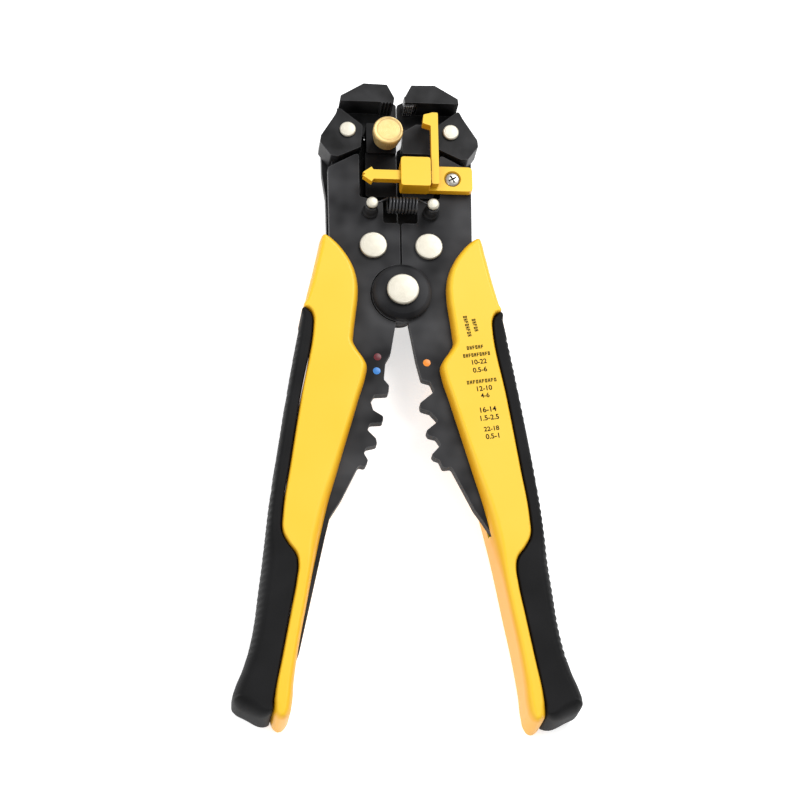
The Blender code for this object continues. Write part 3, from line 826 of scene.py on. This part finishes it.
@dataclass
class Fasteners:
    """Rivets, pins and posts: turned pieces with finer rims than their solids.

    Attributes:
        rim: A front head's rim, as distances in from its side and down from its top.
        back_chamfer: Chamfer of a back head.
        post_steps: Facets round a post.
        neck: Radius of a post above and below its foot.
        head_depth: Height of the bright part of a post.
        crisp: Edges over this angle stay crisp on them.
    """

    rim: tuple[Point, ...] = ((0.42, 0.0), (0.34, 0.01), (0.2, 0.05), (0.07, 0.16), (0.0, 0.45))
    back_chamfer: float = 0.3
    post_steps: int = 48
    neck: float = 1.2
    head_depth: float = 1.3
    crisp: float = 50.0

    def headed(self, node: str, body: str, shaft: float, seats: Point) -> None:
        """Replaces one headed pin.

        Args:
            node: The solid it stands for.
            body: The body it moves with.
            shaft: Radius between the heads.
            seats: Levels of the undersides of the back and front heads.
        """
        low, high = (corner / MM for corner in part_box(node))
        radius = (high.x - low.x) / 2
        profile = [(0.0, high.z)]
        profile += [(radius - inwards, high.z - down) for inwards, down in self.rim]
        profile += [(radius, seats[1]), (shaft, seats[1]), (shaft, seats[0]), (radius, seats[0])]
        profile += [(radius, low.z + self.back_chamfer), (radius - self.back_chamfer, low.z)]
        profile.append((0.0, low.z))
        piece = turned_piece(f"{node}_turned", profile, middle(low, high))
        finished(piece, SATIN_NICKEL, body, node, sharp=self.crisp)

    def post(self, side: Side) -> None:
        """Replaces one spring post: a blackened foot and neck with a bright riveted head."""
        node = f"{side.word}_spring_post"
        low, high = (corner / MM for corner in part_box(node))
        centre = middle(low, high)
        top, neck, foot = high.z, self.neck, (high.x - low.x) / 2
        joint = top - self.head_depth
        profile = [(0.0, joint), (neck, joint), (neck, 18.6), (1.6, 18.2), (1.88, 17.9)]
        profile += [(1.88, 16.3), (2.05, 16.1), (foot - 0.12, 15.9), (foot, 15.7), (foot, 14.8)]
        profile += [(neck, 14.8), (neck, low.z), (0.0, low.z)]
        stem = turned_piece(f"{node}_stem", profile, centre, self.post_steps)
        finished(stem, JAW_STEEL, side.body, node, sharp=self.crisp)
        profile = [(0.0, top), (1.15, top - 0.02), (1.5, top - 0.1), (1.72, top - 0.35)]
        profile += [(1.74, top - 0.9), (1.5, top - 1.15), (neck, top - 1.28), (0.0, top - 1.28)]
        head = turned_piece(f"{node}_head", profile, centre, self.post_steps)
        finished(head, SATIN_NICKEL, side.body, sharp=self.crisp)

    def build(self) -> None:
        """Builds them all."""
        self.headed("pivot_rivet", "right_half", shaft=4.0, seats=(1.3, 17.6))
        for side in Side:
            self.headed(f"{side.word}_link_rivet", side.body, shaft=3.0, seats=(3.2, 14.8))
            self.headed(f"{side.word}_jaw_pin", side.body, shaft=1.9, seats=(3.2, 15.8))
            self.post(side)
            SheetParts.break_edges(frame["nodes"][f"{side.word}_block_rivet"], width=0.1)
            SATIN_NICKEL.dress(frame["nodes"][f"{side.word}_block_rivet"])


@dataclass
class PivotCollars:
    """The stepped washers under the pivot rivet's heads, and the bush between the plates.

    Attributes:
        bore: Radius of the collars' holes.
        reach: Radius of the front collar.
        steps: Facets round a collar.
        chamfer: Chamfer of the back collar.
    """

    bore: float = 4.15
    reach: float = 8.8
    steps: int = 96
    chamfer: float = 0.6

    def build(self) -> None:
        """Turns the collars and dresses the bush."""
        low, high = (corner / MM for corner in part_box("pivot_collar_front"))
        reach = self.reach
        profile = [
            (self.bore, high.z), (reach - 1.5, high.z), (reach - 1.15, high.z - 0.08),
            (reach - 0.2, high.z - 0.95), (reach - 0.02, high.z - 1.3), (reach, low.z + 0.15),
            (reach - 0.15, low.z), (self.bore, low.z),
        ]  # fmt: skip
        front = turned_piece("pivot_collar_front_turned", profile, PIVOT, self.steps)
        finished(front, BLACK_OXIDE, "right_half", "pivot_collar_front")
        low, high = (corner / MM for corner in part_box("pivot_collar_back"))
        reach = (high.x - low.x) / 2
        profile = [
            (self.bore, high.z), (reach, high.z), (reach, low.z + self.chamfer),
            (reach - self.chamfer, low.z), (self.bore, low.z),
        ]  # fmt: skip
        back = turned_piece("pivot_collar_back_turned", profile, PIVOT, self.steps)
        finished(back, BLACK_OXIDE, "right_half", "pivot_collar_back")
        SHADED_INNER_STEEL.dress(frame["nodes"]["pivot_spacer"])


@dataclass
class BladePacks:
    """The ground stripping blades in the right jaws.

    Attributes:
        nodes: The solids of the two packs.
    """

    nodes: tuple[str, ...] = ("upper_blade_pack", "lower_blade_pack")

    def build(self) -> None:
        """Grinds the blades bright."""
        for name in self.nodes:
            GROUND_STEEL.dress(frame["nodes"][name])
            LOG.info("%s dressed", name)


@dataclass
class ReturnSpring:
    """The tension spring between its posts, which the handles draw out as they close; it is built
    as one fixed shape.

    Attributes:
        wire: Wire radius.
        coil: Mean coil radius.
        turns: Number of coils.
        half_length: Half the coiled length.
        level: Height of its axis.
        hook: Radius of the end hooks.
        steps: Points in one turn.
        hook_points: Points in one hook.
        hook_start: Where a hook starts round its post, in degrees.
        hook_step: Degrees from one of its points to the next.
        still_ends: Part of each end that keeps its shape as the spring stretches, in hooks. Not
            used.
    """

    wire: float = 0.38
    coil: float = 2.2
    turns: int = 9
    half_length: float = 4.4
    level: float = 20.0
    hook: float = 1.65
    steps: int = 20
    hook_points: int = 19
    hook_start: float = 160.0
    hook_step: float = 16.0
    still_ends: float = 1.1

    def hook_route(self, centre: Vector, direction: int) -> list[Vector]:
        """Points of one hook, from the coil round its post."""
        points = []
        for step in range(self.hook_points):
            angle = math.radians(self.hook_start - self.hook_step * step)
            x = centre.x + direction * self.hook * math.cos(angle)
            points.append(Vector((x, centre.y + self.hook * math.sin(angle), self.level)))
        return points

    def build(self) -> None:
        """Winds the spring between the two posts."""
        ends = []
        for side in Side:
            low, high = (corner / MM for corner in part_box(f"{side.word}_spring_post"))
            ends.append((low + high) / 2)
        left, right = ends
        y = (left.y + right.y) / 2
        coil = []
        count = self.turns * self.steps
        for step in range(count + 1):
            angle = math.pi / 2 + math.tau * step / self.steps
            x = self.half_length * (2 * step / count - 1)
            offset = Vector((x, self.coil * math.sin(angle), self.coil * math.cos(angle)))
            coil.append(Vector((0.0, y, self.level)) + offset)
        route = list(reversed(self.hook_route(left, -1))) + coil + self.hook_route(right, 1)
        curve = bpy.data.curves.new("return_spring_wire", "CURVE")
        curve.dimensions = "3D"
        curve.bevel_depth = self.wire * MM
        curve.bevel_resolution = 3
        curve.use_fill_caps = True
        spline = curve.splines.new("POLY")
        spline.points.add(len(route) - 1)
        for knot, point in zip(spline.points, route):
            knot.co = (*(point * MM), 1.0)
        holder = link(bpy.data.objects.new("return_spring_route", curve))
        mesh = baked(holder)
        bpy.data.objects.remove(holder)
        spring = link(bpy.data.objects.new("return_spring_coil", mesh))
        MUSIC_WIRE.dress(spring)
        mesh.shade_smooth()
        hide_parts("return_spring")
        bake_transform(spring)
        LOG.info("return_spring_coil bends between the halves")


@dataclass
class Adjuster:
    """The brass micro-adjusting knob and its stud.

    Attributes:
        teeth: Number of teeth round the knob.
        tooth_depth: Depth of their grooves.
        tooth_steps: Facets in one tooth.
        bore: Radius of the hole for the stud.
    """

    teeth: int = 44
    tooth_depth: float = 0.16
    tooth_steps: int = 6
    bore: float = 1.95

    def build(self) -> None:
        """Turns and knurls the knob, and dresses the stud."""
        low, high = (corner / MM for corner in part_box("adjust_knob"))
        rim = (high.x - low.x) / 2
        top, foot, hub, bore = high.z, low.z, rim - 0.6, self.bore
        profile = [
            (0.0, top - 0.1), (rim - 1.35, top - 0.1), (rim - 1.25, top - 0.16),
            (rim - 1.05, top - 0.16), (rim - 0.95, top - 0.08), (rim - 0.55, top - 0.04),
            (rim - 0.42, top), (rim - 0.25, top - 0.04), (rim - 0.06, top - 0.3),
            (rim, top - 0.55), (rim, top - 2.9), (rim - 0.1, top - 3.1), (hub, top - 3.5),
            (hub, foot + 0.15), (hub - 0.15, foot), (bore, foot), (bore, top - 2.4),
            (0.0, top - 2.4),
        ]  # fmt: skip
        knurl = Knurl(top - 3.15, top - 0.6, self.teeth, self.tooth_depth)
        centre = axis_of("knob_turn")
        steps = self.teeth * self.tooth_steps
        knob = turned_piece("adjust_knob_knurled", profile, centre, steps, knurl)
        finished(knob, TURNED_BRASS, "knob", "adjust_knob", sharp=25)
        SATIN_NICKEL.dress(frame["nodes"]["adjust_stud"])
        frame["nodes"]["adjust_stud"].data.shade_smooth()


@dataclass
class WireStop:
    """The yellow wire stop: screwed holder, sliding rod and screw.

    Attributes:
        edge: Width of the mouldings' rounded edges.
        edge_steps: Steps in that rounding.
        slot_half_width: Half the width of the screw's cross slots.
        slot_reach: Half their length.
        slot_depth: Their depth.
        slot_turn: Turn of the first slot, in radians.
    """

    edge: float = 0.5
    edge_steps: int = 3
    slot_half_width: float = 0.26
    slot_reach: float = 1.3
    slot_depth: float = 1.0
    slot_turn: float = 0.5

    def build(self) -> None:
        """Rounds the mouldings' edges and dresses them."""
        for name in ("wire_stop_holder", "wire_stop_rod"):
            node = frame["nodes"][name]
            SheetParts.break_edges(node, self.edge, self.edge_steps)
            YELLOW_PLASTIC.dress(node)
            LOG.info("%s dressed", name)
        self.screw()

    def screw(self) -> None:
        """Replaces the screw with one whose head is domed and deeply crossed."""
        low, high = (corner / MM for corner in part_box("wire_stop_screw"))
        centre = middle(low, high)
        radius, top = (high.x - low.x) / 2, high.z
        profile = [
            (0.0, top), (0.9, top - 0.03), (radius - 0.6, top - 0.15), (radius - 0.3, top - 0.3),
            (radius - 0.12, top - 0.5), (1.6, top - 1.2), (1.6, low.z), (0.0, low.z),
        ]  # fmt: skip
        piece = turned_piece("wire_stop_screw_crossed", profile, centre, steps=48)
        for turn in (self.slot_turn, self.slot_turn + math.pi / 2):
            along = Vector((math.cos(turn), math.sin(turn), 0.0))
            side = Vector((-along.y, along.x, 0.0)) * self.slot_half_width
            near, far = along * self.slot_reach, along * -self.slot_reach
            ends = [near + side, far + side, far - side, near - side]
            plan = [(centre[0] + corner.x, centre[1] + corner.y) for corner in ends]
            cut_slot(piece, plan, (top - self.slot_depth, top + self.slot_depth))
        finished(piece, SCREW_STEEL, "right_half", "wire_stop_screw", sharp=30)


@dataclass
class Grip:
    """One handle: the yellow moulding and the ribbed rubber along its outside.

    Attributes:
        side: The half it belongs to.
        rib_pitch: Distance between the rubber's ribs.
        rib_height: How far they stand out.
        rib_stretch: Where they start and end, behind the pivot.
        shell_span: Outline points between two knots of the yellow moulding.
        rubber_span: The same for the rubber.
        parting_roll: Width of the yellow rim's roll where it meets the rubber.
        rim_roll: Width of its roll elsewhere, at the head and as it grows to the slim end.
        growth: Where that growth starts behind the pivot, and over what length.
        steepness: Height of the yellow rim's roll over its width.
        rubber_roll: Width of the rubber's roll at the parting and on the outside.
        rubber_steepness: Height of the rubber's roll over its width.
        parting_start: Outline point where the rubber's narrow roll starts.
        slot_play: Room over and under a tang in its slot.
        crisp: Edges over this angle stay crisp.
        inner: Inner edge of the yellow moulding from its top, on the right and from the pivot.
        end: Its rounded end.
        parting: The line between the yellow moulding and the rubber.
        outer: The yellow moulding's outer edge above the rubber.
        rubber_outer: The rubber's outer edge.
        rubber_gap: How far the rubber stays off the parting line.
        slot_back: Outer wall of the front tang's slot.
        open_slot: The rest of a slot that opens along the inner edge.
        closed_slot: The rest of one that ends inside the grip.
        back_slot: The back tang's slot.
    """

    side: Side
    rib_pitch: float = 2.1
    rib_height: float = 0.28
    rib_stretch: Point = (14.0, 112.0)
    shell_span: int = 12
    rubber_span: int = 30
    parting_roll: float = 0.7
    rim_roll: Point = (1.7, 3.4)
    growth: Point = (45.0, 35.0)
    steepness: float = 1.9
    rubber_roll: Point = (0.6, 3.2)
    rubber_steepness: float = 1.8
    parting_start: int = 45
    slot_play: float = 0.2
    crisp: float = 50.0
    inner: tuple[Point, ...] = (
        (24.1, 16.2), (23.2, 17.4), (21.7, 17.2), (19.8, 15.8), (17.7, 13.4), (15.6, 10.2),
        (14.1, 6.8), (13.2, 2.4), (13.2, -2.0), (13.9, -8.0), (14.6, -14.0), (14.7, -16.2),
        (13.8, -18.2), (11.5, -21.8), (10.8, -23.6), (11.1, -26.4), (13.4, -34.4),
        (20.1, -58.0), (22.4, -66.5), (24.5, -76.2), (26.8, -86.0), (28.9, -97.0),
        (31.2, -109.6), (32.5, -119.0), (33.1, -126.0),
    )  # fmt: skip
    end: tuple[Point, ...] = ((33.9, -129.0), (35.6, -130.5), (37.4, -130.0), (38.4, -128.2))
    parting: tuple[Point, ...] = (
        (29.1, -5.9), (27.7, -6.5), (26.6, -8.3), (26.4, -12.0), (30.1, -34.0), (33.2, -54.0),
        (35.6, -70.8), (35.6, -75.4), (34.0, -78.8), (31.7, -82.2), (31.2, -84.8),
        (31.7, -90.0), (33.4, -99.3), (35.8, -112.2), (38.2, -125.0),
    )  # fmt: skip
    outer: tuple[Point, ...] = ((28.7, -3.6), (26.7, 5.0), (24.9, 13.0))
    rubber_outer: tuple[Point, ...] = (
        (39.2, -128.9), (46.6, -127.4), (49.0, -125.6), (49.6, -123.4), (48.9, -120.5),
        (46.6, -114.6), (44.0, -104.5), (42.0, -90.0), (40.2, -75.5), (38.7, -62.5),
        (33.4, -28.0), (30.3, -10.6), (29.8, -8.4),
    )  # fmt: skip
    rubber_gap: Point = (0.25, -0.15)
    slot_back: tuple[Point, ...] = (
        (5.0, 26.0), (21.9, 18.0), (20.9, 0.0), (19.2, -14.0), (18.8, -30.0), (22.2, -50.0),
        (28.6, -75.0), (33.7, -100.0), (35.8, -117.5),
    )  # fmt: skip
    open_slot: tuple[Point, ...] = ((28.0, -117.5), (10.0, -60.0), (0.0, -20.0))
    closed_slot: tuple[Point, ...] = (
        (33.7, -115.5), (32.6, -108.0), (30.1, -96.0), (28.0, -86.0), (26.0, -77.0),
        (20.5, -70.3), (10.0, -60.0), (0.0, -20.0),
    )  # fmt: skip
    back_slot: tuple[Point, ...] = (
        (5.0, 26.0), (21.9, 18.0), (20.9, 0.0), (19.3, -14.0), (22.2, -40.0), (24.8, -55.6),
        (8.0, -57.5), (0.0, -20.0),
    )  # fmt: skip

    def shell(self) -> None:
        """Moulds the yellow grip and slots it for the tangs."""
        node = f"{self.side.word}_grip"
        low, high = (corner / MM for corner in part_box(node))
        knots = list(self.inner + self.end) + list(reversed(self.parting)) + list(self.outer)
        outline = smooth_outline(about_pivot(knots, self.side), self.shell_span)
        first = self.shell_span * (len(self.inner) + len(self.end))
        narrow = range(first, self.shell_span * (len(knots) - len(self.outer)))
        wanted = [
            self.parting_roll if i in narrow else self.roll(y) for i, (_, y) in enumerate(outline)
        ]
        rolls = roll_widths(outline, wanted)
        levels = (low.z, high.z)
        piece = rounded_slab(f"{node}_moulding", outline, levels, rolls, self.steepness)
        edge = self.open_slot if self.side is Side.LEFT else self.closed_slot
        for plan, plate in ((self.slot_back + edge, "front"), (self.back_slot, "back")):
            bottom, top = (c.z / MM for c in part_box(f"{self.side.word}_{plate}_plate"))
            levels = (bottom - self.slot_play, top + self.slot_play)
            cut_slot(piece, about_pivot(list(plan), self.side), levels)
        finished(piece, YELLOW_PLASTIC, self.side.body, node, sharp=self.crisp)

    def roll(self, y: float) -> float:
        """Width of the inner rim's roll, which grows from the head to the slim end."""
        start, length = self.growth
        share = min(1.0, max(0.0, (PIVOT[1] - start - y) / length))
        return self.rim_roll[0] + (self.rim_roll[1] - self.rim_roll[0]) * share

    def rubber(self) -> None:
        """Moulds the rubber, with fine ribs along its outer edge."""
        node = f"{self.side.word}_overmould"
        low, high = (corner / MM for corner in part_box(node))
        dx, dy = self.rubber_gap
        knots = [(x + dx, y + dy) for x, y in self.parting] + list(self.rubber_outer)
        outline = smooth_outline(about_pivot(knots, self.side), self.rubber_span)
        first = self.rubber_span * len(self.parting)
        narrow, wide = self.rubber_roll
        wanted = [narrow if self.parting_start < i < first else wide for i in range(len(outline))]
        rolls = roll_widths(outline, wanted)
        ribs = self.ribs(outline, first)
        piece = rounded_slab(
            f"{node}_moulding", outline, (low.z, high.z), rolls, self.rubber_steepness, ribs
        )
        finished(piece, BLACK_RUBBER, self.side.body, node, sharp=self.crisp)

    def ribs(self, outline: list[Point], first: int) -> list[float]:
        """Depth of the grooves between the ribs of the rubber's outer stretch.

        Args:
            outline: The rubber's dense outline.
            first: Where the outer stretch starts.

        Returns:
            The depth at each point of the outline.
        """
        depths = []
        along = 0.0
        for i, (x, y) in enumerate(outline):
            if i:
                along += math.dist((x, y), outline[i - 1])
            ribbed = i > first and self.rib_stretch[0] < PIVOT[1] - y < self.rib_stretch[1]
            share = 0.5 - 0.5 * math.cos(math.tau * along / self.rib_pitch) if ribbed else 0.0
            depths.append(self.rib_height * share)
        return depths

    def build(self) -> None:
        """Builds the handle."""
        self.shell()
        self.rubber()


@dataclass(frozen=True)
class PrintRow:
    """One row of the gauge print.

    Attributes:
        middle: Its middle, from the pivot.
        width: Its length.
        figures: The figures printed, or nothing for a row of plain marks.
        tilt: Turn of the row from the X axis, in degrees.
    """

    middle: Point
    width: float
    figures: str = ""
    tilt: float = 8.5


@dataclass
class Markings:
    """The gauge numbers on the right grip and the coloured dots beside the crimping nests.

    Attributes:
        rows: The printed rows, from the top of the grip down.
        dots: Half, place from the pivot and colour of each dot.
        dot_radius: Radius of a dot.
        dot_profile: Its section from its top, as distances in from its side and over the plate.
        dot_steps: Facets round it.
        mark_height: Height of a plain mark.
        mark_pitch: Distance between plain marks.
        mark_share: Part of that distance which a mark fills.
        stroke: Width of its strokes.
        boldness: Growth of a figure's strokes, over its size.
        ink_lift: How far the ink stands over the plastic.
    """

    rows: tuple[PrintRow, ...] = (
        PrintRow((18.8, -11.4), 6.8, tilt=-78.0), PrintRow((21.1, -11.0), 4.2, tilt=-77.0),
        PrintRow((21.0, -17.9), 5.1), PrintRow((21.4, -20.2), 8.2),
        PrintRow((21.9, -22.5), 4.4, "10-22"), PrintRow((22.2, -25.0), 4.2, "0.5-6"),
        PrintRow((22.7, -28.5), 9.0), PrintRow((23.2, -30.8), 4.5, "12-10"),
        PrintRow((23.5, -33.0), 2.6, "4-6"), PrintRow((24.1, -37.4), 4.8, "16-14"),
        PrintRow((24.5, -39.9), 5.5, "1.5-2.5"), PrintRow((25.1, -43.3), 4.5, "22-18"),
        PrintRow((25.5, -45.6), 4.0, "0.5-1"),
    )  # fmt: skip
    dots: tuple[tuple[Side, Point, str], ...] = (
        (Side.LEFT, (-7.5, -20.3), "crimson"), (Side.LEFT, (-7.8, -24.7), "blue"),
        (Side.RIGHT, (7.0, -21.8), "orange"),
    )  # fmt: skip
    dot_radius: float = 1.1
    dot_profile: tuple[Point, ...] = ((0.25, 0.1), (0.0, 0.03), (0.0, 0.005))
    dot_steps: int = 40
    mark_height: float = 1.15
    mark_pitch: float = 0.86
    mark_share: float = 0.72
    stroke: float = 0.24
    boldness: float = 0.022
    ink_lift: float = 0.02

    def row_mesh(self, row: PrintRow) -> bpy.types.Mesh:
        """A row's flat shape about the origin.

        Args:
            row: The row to draw.

        Returns:
            Its mesh, in millimetres.
        """
        if row.figures:
            curve = bpy.data.curves.new("figures", "FONT")
            curve.body = row.figures
            curve.align_x, curve.align_y = "CENTER", "CENTER"
            curve.offset = self.boldness
            holder = link(bpy.data.objects.new("figures", curve))
            mesh = baked(holder)
            bpy.data.objects.remove(holder)
            reach = max(v.co.x for v in mesh.vertices) - min(v.co.x for v in mesh.vertices)
            mesh.transform(Matrix.Scale(row.width / reach, 4))
            return mesh
        work = bmesh.new()
        count = max(2, round(row.width / self.mark_pitch))
        pitch = row.width / count
        for i in range(count):
            left = -row.width / 2 + pitch * i
            self.mark(work, left, pitch * self.mark_share, i % 3)
        mesh = bpy.data.meshes.new("marks")
        work.to_mesh(mesh)
        work.free()
        return mesh

    def mark(self, work: bmesh.types.BMesh, left: float, width: float, kind: int) -> None:
        """Draws one plain mark of three kinds: a ring, a ladder or a cross bar.

        Args:
            work: The mesh that takes it.
            left: Its left edge.
            width: Its width.
            kind: Which of the three it is.
        """
        half, stroke = self.mark_height / 2, self.stroke
        right = left + width
        bars = [(left, left + stroke, -half, half), (right - stroke, right, -half, half)]
        if kind == 0:
            bars += [(left, right, half - stroke, half), (left, right, -half, stroke - half)]
        elif kind == 1:
            bars.append((left, right, -stroke / 2, stroke / 2))
        else:
            sill = -0.1
            bars[1:] = [(left, right, half - stroke, half), (left, right, sill, stroke + sill)]
        for x0, x1, y0, y1 in bars:
            corners = ((x0, y0), (x1, y0), (x1, y1), (x0, y1))
            work.faces.new([work.verts.new((x, y, 0.0)) for x, y in corners])

    def build(self) -> None:
        """Prints the rows and sets the dots."""
        work = bmesh.new()
        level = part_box("right_grip")[1].z / MM + self.ink_lift
        for row in self.rows:
            mesh = self.row_mesh(row)
            x, y = row.middle
            place = Matrix.Translation((x + PIVOT[0], y + PIVOT[1], level))
            mesh.transform(place @ Matrix.Rotation(math.radians(row.tilt), 4, "Z"))
            work.from_mesh(mesh)
            bpy.data.meshes.remove(mesh)
        finished(mesh_piece("gauge_print", work), PRINT_INK, "right_half")
        plate_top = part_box("left_front_plate")[1].z / MM
        for side, place, colour in self.dots:
            centre = (place[0] + PIVOT[0], place[1] + PIVOT[1])
            section = [
                (self.dot_radius - inwards, plate_top + over) for inwards, over in self.dot_profile
            ]
            profile = [(0.0, section[0][1]), *section, (0.0, section[-1][1])]
            dot = turned_piece(f"dot_{colour}", profile, centre, self.dot_steps)
            finished(dot, DOT_FINISHES[colour], side.body)


@dataclass
class Studio:
    """A white table, a broad soft key from the upper right, a fill, and the camera.

    Attributes:
        azimuth: Camera's turn round the tool, in degrees.
        elevation: Its height over the table, in degrees.
        roll: Its turn about its own axis, in degrees.
        distance: From its target.
        target: The point it looks at.
        lens: Focal length.
        sensor: Width of its sensor.
        clip: Nearest and farthest distance that it shows, in metres.
        lamps: Name, place, side and watts of each square light, in metres.
        sky: Strength of the even light from all round.
        paper: The table top's colour.
        glow: Light that the table top gives of itself.
        table_half: Half the table top's side.
        table_drop: How far it lies under the tool.
    """

    azimuth: float = -16.41
    elevation: float = 68.0
    roll: float = -1.03
    distance: float = 900.0
    target: Place = (-0.82, -1.2, 12.0)
    lens: float = 138.5
    sensor: float = 36.0
    clip: Point = (0.05, 20.0)
    lamps: tuple[tuple[str, Place, float, float], ...] = (
        ("key", (0.45, 0.7, 1.0), 0.6, 9.0), ("fill", (-0.9, -0.2, 0.9), 0.9, 4.0),
    )  # fmt: skip
    sky: float = 0.62
    paper: str = "#f7f7f7"
    glow: float = 0.6
    table_half: float = 3000.0
    table_drop: float = 0.1

    def camera(self) -> None:
        """Sets the camera looking down along the tool from over its left grip."""
        azimuth, elevation = math.radians(self.azimuth), math.radians(self.elevation)
        level = math.cos(elevation)
        back = Vector(
            (math.sin(azimuth) * level, -math.cos(azimuth) * level, math.sin(elevation))
        )
        up = Vector((0.0, 1.0, 0.0))
        up = (up - up.dot(back) * back).normalized()
        right = up.cross(back)
        turn, lean = math.cos(math.radians(self.roll)), math.sin(math.radians(self.roll))
        right, up = turn * right + lean * up, turn * up - lean * right
        data = bpy.data.cameras.new("camera")
        data.lens, data.sensor_width = self.lens, self.sensor
        data.clip_start, data.clip_end = self.clip
        camera = link(bpy.data.objects.new("camera", data))
        place = (Vector(self.target) + back * self.distance) * MM
        turned = Matrix((right, up, back)).transposed().to_4x4()
        camera.matrix_world = Matrix.Translation(place) @ turned
        bpy.context.scene.camera = camera

    def lamp(self, name: str, place: Place, size: float, watts: float) -> None:
        """Hangs a square soft light that faces the tool.

        Args:
            name: The light's name.
            place: Where it hangs, in metres.
            size: Side of its square, in metres.
            watts: Its power.
        """
        data = bpy.data.lights.new(name, "AREA")
        data.size, data.energy = size, watts
        light = link(bpy.data.objects.new(name, data))
        light.location = place
        light.rotation_euler = (-Vector(place)).to_track_quat("-Z", "Y").to_euler()

    def floor(self) -> None:
        """Lays the table top."""
        work = bmesh.new()
        bmesh.ops.create_grid(work, x_segments=1, y_segments=1, size=self.table_half)
        top = mesh_piece("table_top", work)
        material = bpy.data.materials.new("paper_white_matt")
        material.use_nodes = True
        shader = material.node_tree.nodes["Principled BSDF"]
        feed(shader, {
            "Base Color": linear(self.paper), "Roughness": 0.9,
            "Emission Color": linear("#ffffff"), "Emission Strength": self.glow,
        })  # fmt: skip
        top.data.materials.append(material)
        top.location.z = -self.table_drop * MM

    def build(self) -> None:
        """Builds the set."""
        scene = bpy.context.scene
        scene.view_settings.view_transform = "Standard"
        world = bpy.data.worlds.new("studio")
        world.use_nodes = True
        sky = world.node_tree.nodes["Background"]
        feed(sky, {"Color": linear("#ffffff"), "Strength": self.sky})
        scene.world = world
        self.floor()
        for lamp in self.lamps:
            self.lamp(*lamp)
        self.camera()


def main() -> None:
    """Builds every sub-assembly and the studio."""
    logging.basicConfig(level=logging.INFO, format="%(name)s: %(message)s")
    assemblies = [
        SheetParts(), PivotCollars(), Fasteners(), BladePacks(), ReturnSpring(), Adjuster(),
        WireStop(), *(Grip(side) for side in Side), Markings(), Studio(),
    ]  # fmt: skip
    for assembly in assemblies:
        assembly.build()


if __name__ == "__main__":
    main()
